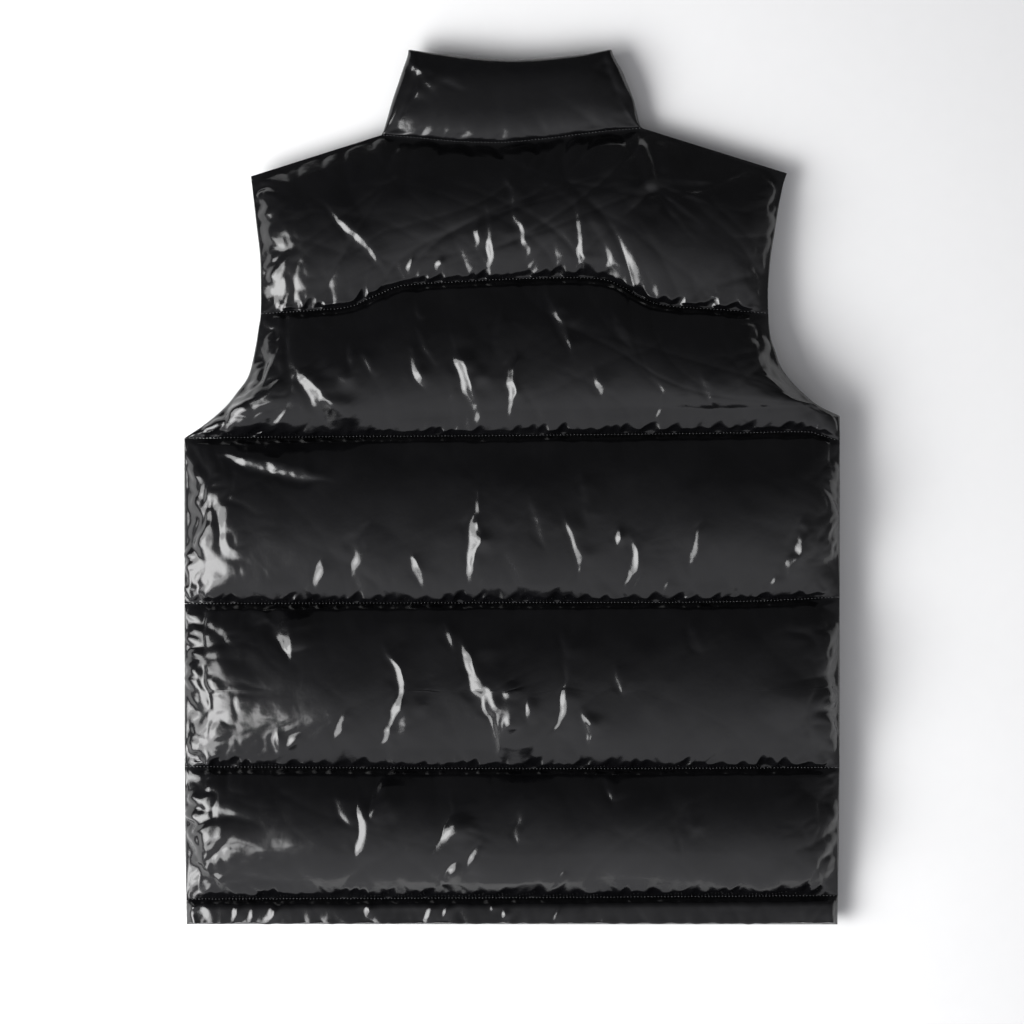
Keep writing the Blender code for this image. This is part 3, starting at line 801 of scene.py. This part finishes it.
LEFT_EDGE = np.vstack([[(-CHEST_HALF, -376.2), (-CHEST_HALF, 41.8)], smooth(ARMHOLE_LEFT)[1:]])
RIGHT_EDGE = np.vstack([[(CHEST_HALF, -376.2), (CHEST_HALF, 60.9)], smooth(ARMHOLE_RIGHT[1:])[1:]])
HALF = SEAM_GAP / 2


def between(points, low, high):
    """The stretch of an edge from one height to another."""
    points = np.asarray(points)
    inside = points[(points[:, 1] > low + 0.3) & (points[:, 1] < high - 0.3)]
    at = lambda y: (np.interp(y, points[:, 1], points[:, 0]), y)
    return np.vstack([[at(low)], inside, [at(high)]])


def spare_length(seam, middle, side, side_reach=34.0, fall=15.0, seed=1, bottom=1.0, top=0.6, lift=0.02):
    """Spare cloth: most beside the stitching, some at the sides, little between."""

    def spare(u, v, base):
        x, y = base[..., 0], base[..., 1]
        low = np.abs(y - y[0][None])
        high = np.abs(y[-1][None] - y)
        ends = np.minimum(np.abs(x - x[:, :1]), np.abs(x[:, -1:] - x))
        rng = np.random.default_rng(seed)
        wave = np.interp(x[0], np.linspace(-300, 300, 46), rng.uniform(0.35, 1.5, 46))[None]
        wave2 = np.interp(x[0], np.linspace(-300, 300, 46), rng.uniform(0.35, 1.5, 46))[None]
        beside = bottom * wave * np.exp(-low / fall) + top * wave2 * np.exp(-high / fall)
        near_end = np.exp(-ends / side_reach)
        across = middle + seam * beside + side * 0.5 * near_end
        up = lift + 0.4 * side * near_end + 0.012 * beside
        return across, up

    return spare


def noise_at(x, y, scale, rng):
    """Smooth noise read at any points, with features about scale across."""
    cell = 2.0
    rough = soft_noise((160, 340), cell, scale, rng)
    iy = np.clip((y - y.min() + 10.0) / cell, 0, 158.99)
    ix = np.clip((x + 330.0) / cell, 0, 338.99)
    jy, jx = iy.astype(int), ix.astype(int)
    fy, fx = iy - jy, ix - jx
    return (rough[jy, jx] * (1 - fx) + rough[jy, jx + 1] * fx) * (1 - fy) + (
        rough[jy + 1, jx] * (1 - fx) + rough[jy + 1, jx + 1] * fx
    ) * fy


def wrinkles(x, y, low, high, left, right, seed, seam, side_left, side_right, loose, long):
    """Puckers beside the stitching and at both ends of a strip, and slow waves between.
    low, high, left and right are distances from the strip's edges."""
    out = gathers(x, low, seed * 11 + 1, 12.0, seam * 1.1, 9.0, width=1.9)
    out += gathers(x, low, seed * 11 + 2, 40.0, seam, 24.0, slant=0.35, width=3.6, fan=0.16)
    out += gathers(x, high, seed * 11 + 3, 27.0, seam * 0.22, 12.0, width=5.0)
    # long faint folds, all the way up from the stitching and down from it
    for distance, step in ((low, 8), (high, 9)):
        out += gathers(
            x, distance, seed * 11 + step, 17.0, long, 55.0, slant=0.28, width=2.6, fan=0.05
        )
    for distance, depth, step in ((left, side_left, 4), (right, side_right, 6)):
        # the end of a strip is drawn up along its side seam into pillows
        drawn = gathers(
            y, distance, seed * 11 + step, 19.0, depth, 26.0, slant=0.5, width=4.4, fan=0.13
        )
        drawn += gathers(
            y, distance, seed * 11 + step + 1, 10.0, depth * 0.45, 9.0, slant=0.8, width=2.4
        )
        out += drawn
    rng = np.random.default_rng(seed * 5 + 2)
    calm = np.clip(np.minimum(low, high) / 16, 0, 1) * np.clip(np.minimum(left, right) / 10, 0, 1)
    for scale, height in ((90.0, 1.9), (38.0, 0.7), (17.0, 0.13)):
        out += loose * height * noise_at(x, y, scale, rng) * calm
    # crumpled ends: valleys where a slow noise changes sign
    ends = side_left * np.exp(-left / 27) + side_right * np.exp(-right / 22)
    bend = 7.0 * noise_at(x, y, 30.0, rng)
    for scale, share in ((26.0, 0.9), (12.0, 0.42)):
        slow = noise_at(x + bend, y - 0.7 * bend, scale, rng)
        out += share * ends * (np.minimum(np.abs(slow), 0.9) - 0.5)
    return out


def back_shape(name, edges, loft, round_reach, seed=1, seam=2.7, sides=(6.6, 4.6), loose=1.0, long=0.55, top_wall=True):
    edges = [np.asarray(e, float) for e in edges]
    hem = name == "back_hem"

    def shape(u, v):
        xy = patch(edges, u, v)
        x, y = xy[..., 0], xy[..., 1]
        height = np.linalg.norm(along(edges[1], u) - along(edges[0], u), axis=-1)[None]
        share = (v[:, None] * height - LEDGE) / (height - 2 * LEDGE)
        left = along(edges[2], v)[:, :1]
        right = along(edges[3], v)[:, :1]
        blunt = SIDE_BLUNT if top_wall else 0.82
        across = np.minimum(
            shoulder_off(x - left, round_reach, blunt),
            shoulder_off(right - x, round_reach, blunt),
        )
        if hem:
            # a folded edge: flat on top, with a tight turn at the foot
            foot = shoulder_off(v[:, None] * height, 1.5)
            full = np.minimum(foot, shoulder_off((1 - v[:, None]) * height, 8.0)) * across
        else:
            full = crown(share) * across
        low, high = v[:, None] * height, (1 - v[:, None]) * height
        wall = 0.0 if hem else WALL
        z = read(REST_HEIGHT, y) + SEAM_RISE + (loft - SEAM_RISE - wall) * full
        if wall:
            lean = 0.45 + 0.5 * noise_at(x, 0 * y, 26.0, np.random.default_rng(seed + 70))
            reach_low = drawn_width(x - lean * low, seed * 3 + 400, 2.1, 13.0, 9.5)
            reach_high = drawn_width(x + lean * high, seed * 3 + 401, 4.0, 30.0, 1.0)
            steep = soft_step(low / reach_low, 0.1)
            if top_wall:
                steep = np.minimum(steep, soft_step(high / reach_high, 0.45))
            else:
                steep = np.minimum(steep, shoulder_off(high, 60.0, 1.0))
            z += wall * steep * np.clip(across * 1.3, 0, 1)
        z += crease_heights(name, x, y) * np.clip(full * 2.2, 0, 1)
        base = np.stack([x, y, z], -1)
        out = wrinkles(x, y, low, high, x - left, right - x, seed, seam, *sides, loose, long)
        if hem:
            out += gathers(x, high, 907, 6.5, 1.7, 4.5, width=1.5)
            out += gathers(x, low, 908, 16.0, 0.9, 7.0, width=2.0)
        elif not top_wall:
            neck = np.exp(-((np.abs(x) / 118.0) ** 8))
            out += neck * gathers(x, high, 909, 11.0, 2.2, 17.0, width=2.4)
        # a valley stays above the stitching that it runs down to
        room = 0.85 * np.clip(z - read(REST_HEIGHT, y) - SEAM_RISE, 0, None) + 0.02
        out = np.where(out < 0, -room * (1 - np.exp(out / room)), np.minimum(out, room))
        return base + normals_of(base) * out[..., None]

    return shape


def front_shape(edges, round_left, round_right, seed):
    edges = [np.asarray(e, float) for e in edges]

    def shape(u, v):
        xy = patch(edges, u, v)
        x, y = xy[..., 0], xy[..., 1]
        height = np.linalg.norm(along(edges[1], u) - along(edges[0], u), axis=-1)[None]
        share = (v[:, None] * height - LEDGE) / (height - 2 * LEDGE)
        left = along(edges[2], v)[:, :1]
        right = along(edges[3], v)[:, :1]
        across = np.minimum(
            shoulder_off(x - left, round_left), shoulder_off(right - x, round_right)
        )
        full = np.minimum(crown(share) ** 0.7 * across * FLAT_SHARE, 1)
        z = (read(REST_HEIGHT, y) - SEAM_RISE) * (1 - full)
        base = np.stack([x, y, z], -1)
        low, high = v[:, None] * height, (1 - v[:, None]) * height
        out = wrinkles(x, y, low, high, x - left, right - x, seed, 2.6, 3.4, 3.4, 0.0, 0.0)
        room = 0.85 * np.clip(read(REST_HEIGHT, y) - SEAM_RISE - z, 0, None) + 0.02
        out = np.where(out < 0, -room * (1 - np.exp(out / room)), np.minimum(out, room))
        out = out * (1 - full)
        return base - normals_of(base) * out[..., None]

    return shape


def lining_back(x, y, at_edge):
    return read(REST_HEIGHT, y) + (0.15 if at_edge else 0.6)


def lining_front(x, y, at_edge):
    return read(REST_HEIGHT, y) - (0.15 if at_edge else 0.6)


FINE = 1.5
COARSE = 2.6

LAYERS = (  # name, lower seam, upper seam, loft, seed
    ("hem", HEM_EDGE, SEAM_HEM, HEM_LOFT, 5),
    ("channel_4", SEAM_HEM, SEAM_3, BACK_LOFT, 4),
    ("channel_3", SEAM_3, SEAM_2, BACK_LOFT, 3),
    ("channel_2", SEAM_2, SEAM_1, BACK_LOFT, 2),
    ("channel_1", SEAM_1, YOKE_SEAM, BACK_LOFT, 1),
)
DRAWN = {  # how deep the side seams draw each channel in, left and right
    "channel_1": (6.5, 4.6),
    "channel_2": (6.4, 4.2),
    "channel_3": (8.6, 5.0),
    "channel_4": (8.2, 5.4),
}
pieces = []
seam_lines = []  # (points, height sign) for the stitches


def finish_piece(obj, cad):
    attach(obj, ROOT)
    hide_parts(cad)
    pieces.append(obj)


def mirrored(points):
    """A front strip is settled with its outer side up, then turned over."""
    out = points.copy()
    out[..., 2] *= -1
    return out


def front_piece(name, edges, round_left, round_right, seed, spare):
    shape = front_shape(edges, round_left, round_right, seed)
    turned = lambda u, v: mirrored(shape(u, v))
    points, _, _ = relax(turned, spare, COARSE, 3, seed, 0.05, 0.12, 6.0, steps=60)
    points = mirrored(points)
    points[..., 2] = np.maximum(points[..., 2], 0.05)
    obj = closed_strip(name, points, lining_front, 6, True, NYLON)
    finish_piece(obj, name)


for name, lower, upper, loft, seed in LAYERS:
    lower_s, upper_s = smooth(lower), smooth(upper)
    left = between(LEFT_EDGE, lower[0][1] + HALF, upper[0][1] - HALF)
    right = between(RIGHT_EDGE, lower[-1][1] + HALF, upper[-1][1] - HALF)
    bottom = np.vstack([left[:1], lower_s[1:-1] + (0, HALF), right[:1]])
    top = np.vstack([left[-1:], upper_s[1:-1] - (0, HALF), right[-1:]])
    hem = name == "hem"
    if hem:
        shape = back_shape(
            "back_hem", (bottom, top, left, right), loft, 8.0, seed, 1.8, (1.8, 1.8), 0.3, 0.6
        )
        spare = spare_length(0.03, 0.012, 0.03, 12.0, 8.0, seed, lift=0.012)
    else:
        shape = back_shape(
            "back_" + name,
            (bottom, top, left, right),
            loft,
            SIDE_ROUND,
            seed,
            sides=DRAWN[name],
            long=1.1 if name == "channel_1" else 0.6,
        )
        spare = spare_length(0.05, 0.008, 0.04, 30.0, 13.0, seed, lift=0.001)
    points, _, _ = relax(
        shape, spare, FINE, 3, seed, 0.05 if not hem else 0.09, 0.2, 7.0 if not hem else 3.0
    )
    obj = closed_strip("back_" + name, points, lining_back, 7, False, NYLON)
    finish_piece(obj, "back_" + name)
    if not hem:
        seam_lines.append((lower_s, 1))
    for sign, word in ((-1, "left"), (1, "right")):
        outer = left if sign < 0 else right
        f_low = (lower[0][1] + lower[-1][1]) / 2 + HALF
        f_high = (upper[0][1] + upper[-1][1]) / 2 - HALF
        inner = np.array([(sign * FRONT_EDGE, f_low), (sign * FRONT_EDGE, f_high)])
        a, b = (outer, inner) if sign < 0 else (inner, outer)
        reach = 14.0 if hem else 26.0
        front_piece(
            f"front_{word}_{name}",
            (np.array([a[0], b[0]]), np.array([a[-1], b[-1]]), a, b),
            (14.0 if hem else SIDE_ROUND) if sign < 0 else reach,
            reach if sign < 0 else (14.0 if hem else SIDE_ROUND),
            seed * 10 + sign + 3,
            spare_length(0.10, 0.012, 0.06, 26.0, 13.0, seed * 7 + sign),
        )

# yokes
left = between(smooth(ARMHOLE_LEFT), YOKE_SEAM[0][1] + HALF, 267.0)
right = between(smooth(ARMHOLE_RIGHT), YOKE_SEAM[-1][1] + HALF, 269.6)
yoke_s = smooth(YOKE_SEAM)
neck_s = smooth(BACK_NECK)
bottom = np.vstack([left[:1], yoke_s[1:-1] + (0, HALF), right[:1]])
top = np.vstack([left[-1:], neck_s - (0, HALF), right[-1:]])
shape = back_shape(
    "back_yoke", (bottom, top, left, right), BACK_LOFT - 3, 48.0, 9, 2.4, (3.8, 2.8), long=2.6, top_wall=False
)
points, _, _ = relax(
    shape, spare_length(0.05, 0.008, 0.03, 26.0, 14.0, 6, top=0.35), FINE, 3, 6, 0.05, 0.2, 7.0
)
obj = closed_strip("back_yoke", points, lining_back, 7, False, NYLON)
finish_piece(obj, "back_yoke")
seam_lines.append((yoke_s, 1))
seam_lines.append((neck_s, 1))


def scoop(x, low_y, side_y, half_width):
    return low_y + (side_y - low_y) * (np.abs(x) / half_width) ** 2.2


for sign, word in ((-1, "left"), (1, "right")):
    armhole = left if sign < 0 else right
    shoulder = SHOULDER_LEFT if sign < 0 else SHOULDER_RIGHT
    side_y = shoulder[1][1]
    xs = np.linspace(112.0, FRONT_EDGE, 24)
    neckline = np.stack([sign * xs, scoop(xs, side_y - NECK_DROP, side_y, NECK_HALF) - 0.3], -1)
    middle = (YOKE_SEAM[0][1] + YOKE_SEAM[-1][1]) / 2 + HALF
    inner = np.array([(sign * FRONT_EDGE, middle), neckline[-1]])
    f_top = np.vstack([armhole[-1:], neckline])
    f_bottom = np.array([armhole[0], inner[0]])
    edges = (f_bottom, f_top, armhole, inner)
    if sign > 0:
        edges = (f_bottom[::-1], f_top[::-1], inner, armhole)
    front_piece(
        f"front_{word}_yoke",
        edges,
        48.0 if sign < 0 else 22.0,
        22.0 if sign < 0 else 48.0,
        77 + sign,
        spare_length(0.08, 0.01, 0.05, 24.0, 13.0, 91 + sign),
    )

# ------------------------------------------------------------------ collar

RUN = (0.22, 0.30, 0.70, 0.78)  # shares of the band: left fold, back, right fold, front
SIDE_NECK = (BACK_NECK[0][1], BACK_NECK[-1][1])
TOP_SIDE = (COLLAR_TOP[0][1], COLLAR_TOP[-1][1])


def collar_point(u, v, skin):
    """skin 0 is the inner face and 1 the outer one."""
    thick = COLLAR_THIN + COLLAR_LOFT * (1 - abs(2 * v - 1) ** 2.6) ** 0.6 + 1.6 * v
    outer = COLLAR_GAP + thick
    left_x, right_x = float(read(COLLAR_SIDES, v, 1)), float(read(COLLAR_SIDES, v, 2))
    centre = left_x + outer, right_x - outer
    a, b, c, d = RUN
    thin = 1.0
    if u < a or u > d:
        on_left = u < a
        share = u / a if on_left else (1 - u) / (1 - d)
        fold = centre[0] if on_left else centre[1]
        x = (-FRONT_EDGE if on_left else FRONT_EDGE) * (1 - share) + fold * share
        turn = -math.pi / 2
        thin = 0.42 + 0.58 * float(shoulder_off(share, 0.3))
    elif u < b or u > c:
        on_left = u < b
        share = (u - a) / (b - a) if on_left else (d - u) / (d - c)
        x = centre[0] if on_left else centre[1]
        turn = -math.pi / 2 + math.pi * share
        thin = 1 - 0.38 * max(2 * share - 1, 0.0) ** 1.5
    else:
        share = (u - b) / (c - b)
        x = centre[0] * (1 - share) + centre[1] * share
        turn = math.pi / 2
        thin = 0.62 + 0.38 * float(shoulder_off(min(share, 1 - share), 0.22, 0.9))
    sign = -1 if u < (b + c) / 2 else 1
    dx, dz = sign * math.cos(turn), math.sin(turn)
    offset = COLLAR_GAP + (thick * thin if skin else 0.0)
    px = x + dx * offset
    pz = max(0.0, min(COLLAR_MID + dz * offset, 2 * COLLAR_MID - 0.1))
    behind = min(math.sin(turn) + 1.15, 1.0) if turn > -1.5 else 0.0
    back_low = np.interp(px, neck_s[:, 0], neck_s[:, 1]) + 0.4
    back_high = np.interp(px, collar_top_s[:, 0], collar_top_s[:, 1])
    side_y = SIDE_NECK[0] if sign < 0 else SIDE_NECK[1]
    top_y = TOP_SIDE[0] if sign < 0 else TOP_SIDE[1]
    front_low = scoop(x, side_y - NECK_DROP, side_y, NECK_HALF) + 0.8
    front_high = min(scoop(x, top_y - FRONT_COLLAR_DROP, top_y, 90.0), top_y)
    low_y = front_low * (1 - behind) + back_low * behind
    high_y = front_high * (1 - behind) + back_high * behind
    return px, low_y + v * (high_y - low_y), pz


collar_top_s = smooth(COLLAR_TOP)


def collar_shape(u, v):
    out = np.array([[collar_point(a, b, 1) for a in u] for b in v])
    x, y, z = out[..., 0], out[..., 1], out[..., 2]
    z += crease_heights("collar", x, y) * (z > 20)
    around = u[None, :] * 470.0 + 0 * x
    up = v[:, None] * 72.0 + 0 * x
    puckers = gathers(around, up, 201, 10.0, 2.1, 9.0, width=1.9)
    puckers += gathers(around, up, 202, 26.0, 1.7, 22.0, slant=0.35, width=3.0, fan=0.12)
    puckers += gathers(around, 72.0 - up, 203, 26.0, 0.9, 12.0, width=2.4)
    for fold in (RUN[1], RUN[2]):
        beside = np.abs(u[None, :] - fold) * 470.0 + 0 * x
        puckers += gathers(up, beside, 204, 15.0, 1.5, 13.0, slant=0.6, width=3.2)
    return out + normals_of(out) * (puckers * np.clip(up / 3.0, 0, 1) * np.clip((72 - up) / 3, 0, 1))[..., None]


def collar_spare(u, v, base):
    beside = np.exp(-np.abs(v) * 73 / 9)[:, None] + 0.5 * np.exp(-np.abs(1 - v) * 73 / 7)[:, None]
    rng = np.random.default_rng(12)
    wave = np.interp(u, np.linspace(0, 1, 40), rng.uniform(0.3, 1.5, 40))[None]
    return 0.012 + 0.07 * beside * wave, 0.012 + 0 * beside * wave


points, collar_u, collar_v = relax(
    collar_shape, collar_spare, 1.8, 3, 12, 0.08, 0.10, 3.0, steps=50, fence=False
)
points[..., 2] = np.maximum(points[..., 2], 0.05)
inner = np.array([[collar_point(a, b, 0) for a in collar_u[::4]] for b in collar_v[::2]])


def closed_band(name, outer, inner, mat):
    """An outer sheet and an inner one with the same corners, joined round their edges."""
    r, c = outer.shape[0], outer.shape[1]
    # bring the inner sheet to the outer one's rows and columns
    full = np.empty_like(outer)
    vi = np.linspace(0, inner.shape[0] - 1, r)
    ui = np.linspace(0, inner.shape[1] - 1, c)
    iy, ix = np.minimum(vi.astype(int), inner.shape[0] - 2), np.minimum(ui.astype(int), inner.shape[1] - 2)
    fy, fx = (vi - iy)[:, None, None], (ui - ix)[None, :, None]
    full = (
        inner[np.ix_(iy, ix)] * (1 - fy) * (1 - fx)
        + inner[np.ix_(iy, ix + 1)] * (1 - fy) * fx
        + inner[np.ix_(iy + 1, ix)] * fy * (1 - fx)
        + inner[np.ix_(iy + 1, ix + 1)] * fy * fx
    )
    verts = np.vstack([outer.reshape(-1, 3), full.reshape(-1, 3)])
    index = np.arange(r * c).reshape(r, c)
    under = index + r * c
    quad = lambda g: np.stack([g[:-1, :-1], g[:-1, 1:], g[1:, 1:], g[1:, :-1]], -1).reshape(-1, 4)
    faces = quad(index).tolist() + quad(under)[:, ::-1].tolist()
    for row, order in ((0, 1), (r - 1, -1)):
        for j in range(c - 1):
            faces.append([index[row, j], under[row, j], under[row, j + 1], index[row, j + 1]][::order])
    for col, order in ((0, -1), (c - 1, 1)):
        for i in range(r - 1):
            faces.append([index[i, col], under[i, col], under[i + 1, col], index[i + 1, col]][::order])
    obj = mesh_object(name, verts * MM, faces, [mat])
    obj.data.shade_smooth()
    obj.data.set_sharp_from_angle(angle=math.radians(75))
    return obj


obj = closed_band("collar", points, inner, NYLON)
finish_piece(obj, "collar")

# ------------------------------------------------------------------ stitches


def stitch_rows(name, rows, pitch=2.9, length=1.5, radius=0.34):
    """Small arched stitches along each row of (points, side). side is +1 for the upper
    face of the seam and -1 for the lower one."""
    rings, sides = 5, 5
    t = np.linspace(0, 1, rings)
    bow = 0.42 * np.sin(np.pi * t) - 0.12
    thick = radius * np.array([0.35, 0.9, 1.0, 0.9, 0.35])
    angle = np.linspace(0, 2 * np.pi, sides, endpoint=False)
    ring_faces = [
        (r * sides + s, r * sides + (s + 1) % sides, (r + 1) * sides + (s + 1) % sides, (r + 1) * sides + s)
        for r in range(rings - 1)
        for s in range(sides)
    ]
    caps = [tuple(range(sides))[::-1], tuple((rings - 1) * sides + s for s in range(sides))]
    rng = np.random.default_rng(31)
    verts, faces = [], []
    for line, side in rows:
        line = np.asarray(line, float)
        total = length_of(line)
        for start in np.arange(1.5, total - 2.5, pitch):
            a, b = along(line, np.array([start / total, (start + length) / total]))
            way = (b - a) / max(np.linalg.norm(b - a), 1e-6)
            off = np.array([-way[1], way[0]])
            slip = rng.uniform(-0.12, 0.12)
            turn = rng.uniform(-0.16, 0.16)
            base_z = read(REST_HEIGHT, a[1]) + side * (SEAM_RISE + 0.1)
            place = len(verts)
            for k in range(rings):
                centre = a + way * length * t[k] + off * (slip + turn * (t[k] - 0.5) * length * 0.5)
                for g in angle:
                    xy = centre + off * math.cos(g) * thick[k]
                    z = base_z + side * (bow[k] + math.sin(g) * thick[k])
                    verts.append((xy[0], xy[1], z))
            new = [tuple(place + i for i in f) for f in [*ring_faces, *caps]]
            faces.extend([f[::-1] for f in new] if side > 0 else new)
    obj = mesh_object(name, np.array(verts) * MM, faces, [THREAD])
    obj.data.shade_smooth()
    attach(obj, ROOT)
    return obj


stitch_rows("back_stitches", seam_lines)
front_lines = []
for seam in (SEAM_HEM, SEAM_3, SEAM_2, SEAM_1):
    mid_y = (seam[0][1] + seam[-1][1]) / 2
    for sign, end in ((-1, seam[0]), (1, seam[-1])):
        pair = [(sign * FRONT_EDGE, mid_y), end]
        front_lines.append((pair, -1))
mid_y = (YOKE_SEAM[0][1] + YOKE_SEAM[-1][1]) / 2
for sign, end in ((-1, YOKE_SEAM[0]), (1, YOKE_SEAM[-1])):
    front_lines.append(([(sign * FRONT_EDGE, mid_y), end], -1))
stitch_rows("front_stitches", front_lines)

# ------------------------------------------------------------------ zip


def tooth_row(name, cad, sign, pitch=2.0):
    outline = [
        (3.0, -0.45),
        (1.3, -0.5),
        (0.7, -0.32),
        (0.1, -0.62),
        (-0.55, -0.42),
        (-0.55, 0.42),
        (0.1, 0.62),
        (0.7, 0.32),
        (1.3, 0.5),
        (3.0, 0.45),
    ]
    heights = ((-1.2, 0.8), (-0.9, 1.0), (0.9, 1.0), (1.2, 0.8))
    verts, faces = [], []
    n = len(outline)
    foot = ZIP_FOOT + 11.6 + (pitch / 2 if sign > 0 else 0)
    for y in np.arange(foot, SLIDER_Y + 1.0, pitch):
        base = len(verts)
        z0 = float(read(REST_HEIGHT, y)) - ZIP_BELOW
        for z, shrink in heights:
            for px, py in outline:
                cx = 1.3
                verts.append((sign * (cx + (px - cx) * (0.94 if shrink < 1 else 1)), y + py * shrink, z0 + z))
        for level in range(len(heights) - 1):
            for k in range(n):
                a, b = base + level * n + k, base + level * n + (k + 1) % n
                faces.append((a, b, b + n, a + n))
        faces.append(tuple(base + k for k in range(n))[::-1])
        faces.append(tuple(base + 3 * n + k for k in range(n)))
    # the outline runs clockwise for one side and the other way for its mirror
    if sign > 0:
        faces = [f[::-1] for f in faces]
    obj = mesh_object(name, np.array(verts) * MM, faces, [RESIN])
    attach(obj, ROOT)
    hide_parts(cad)
    return obj


tooth_row("zip_teeth_row_left", "zip_teeth_left", -1)
tooth_row("zip_teeth_row_right", "zip_teeth_right", 1)
for cad, mat in (
    ("zip_tape_left", TAPE),
    ("zip_tape_right", TAPE),
    ("zip_slider", LACQUER),
    ("zip_pull", LACQUER),
    ("zip_retainer", RESIN),
):
    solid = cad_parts[cad]
    solid.data.materials.clear()
    solid.data.materials.append(mat)

# ------------------------------------------------------------------ floor, light, camera

floor_mat, tree, shader = shader_of("pale_floor")
place = node(tree, "ShaderNodeTexCoord").outputs["Object"]
grain = node(tree, "ShaderNodeTexNoise", Scale=60.0, Detail=3.0)
tree.links.new(place, grain.inputs["Vector"])
tree.links.new(
    colour_mix(tree, grain.outputs["Fac"], (0.85, 0.85, 0.85), (0.87, 0.87, 0.87)),
    shader.inputs["Base Color"],
)
shader.inputs["Roughness"].default_value = 0.9
shader.inputs["Specular IOR Level"].default_value = 0.1
bpy.ops.mesh.primitive_plane_add(size=9.0, location=(0, 0, 0))
floor = bpy.context.object
floor.name = "floor"
floor.data.materials.append(floor_mat)


def softbox(name, place, aim, wide, tall, radiance):
    """An even rectangular light. radiance is what a mirror would show."""
    data = bpy.data.lights.new(name, "AREA")
    data.shape = "RECTANGLE"
    data.size, data.size_y = wide, tall
    data.energy = radiance * math.pi * wide * tall
    obj = bpy.data.objects.new(name, data)
    obj.location = place
    toward = Vector(aim) - Vector(place)
    obj.rotation_euler = toward.to_track_quat("-Z", "Y").to_euler()
    bpy.context.scene.collection.objects.link(obj)
    return obj


softbox("key_left", (-1.42, -0.70, 1.15), (0, -0.05, 0.05), 2.1, 1.40, 6.8)
softbox("key_core", (-1.36, -0.67, 1.10), (0, -0.05, 0.05), 1.0, 0.80, 6.5)

# The room: dim overhead and behind the collar, brighter low down beyond the hem.
world = bpy.data.worlds.new("studio")
world.use_nodes = True
tree = world.node_tree
sky = tree.nodes["Background"]
way = node(tree, "ShaderNodeTexCoord").outputs["Generated"]
parts = node(tree, "ShaderNodeSeparateXYZ")
tree.links.new(way, parts.inputs[0])
glow = node(tree, "ShaderNodeValToRGB")
tree.links.new(ramp(tree, parts.outputs["Y"], 0, 1, (-1, 1)), glow.inputs["Fac"])
steps = glow.color_ramp
steps.interpolation = "LINEAR"
for at, grey in ((0.0, 0.88), (0.1, 0.82), (0.5, 0.25), (0.82, 0.09)):
    stop = steps.elements[0] if at == 0.0 else steps.elements.new(at)
    stop.position, stop.color = at, (grey, grey, grey * 1.04, 1)
steps.elements[-1].position = 1.0
steps.elements[-1].color = (0.09, 0.09, 0.094, 1)
tree.links.new(glow.outputs["Color"], sky.inputs["Color"])
sky.inputs["Strength"].default_value = 1.0
bpy.context.scene.world = world

SCALE = 0.000855  # metres a pixel at the side seams, over a frame of 1024
LENS, SENSOR = 85.0, 36.0
away = 1024 * SCALE * LENS / SENSOR
camera_data = bpy.data.cameras.new("camera")
camera_data.lens, camera_data.sensor_width = LENS, SENSOR
camera = bpy.data.objects.new("camera", camera_data)
camera.location = (0.0, -24.75 * SCALE, 0.025 + away)
camera.rotation_euler = (0, 0, 0)
bpy.context.scene.collection.objects.link(camera)
bpy.context.scene.camera = camera
bpy.context.scene.view_settings.view_transform = "Standard"
bpy.context.scene.view_settings.look = "None"

bpy.context.view_layer.update()
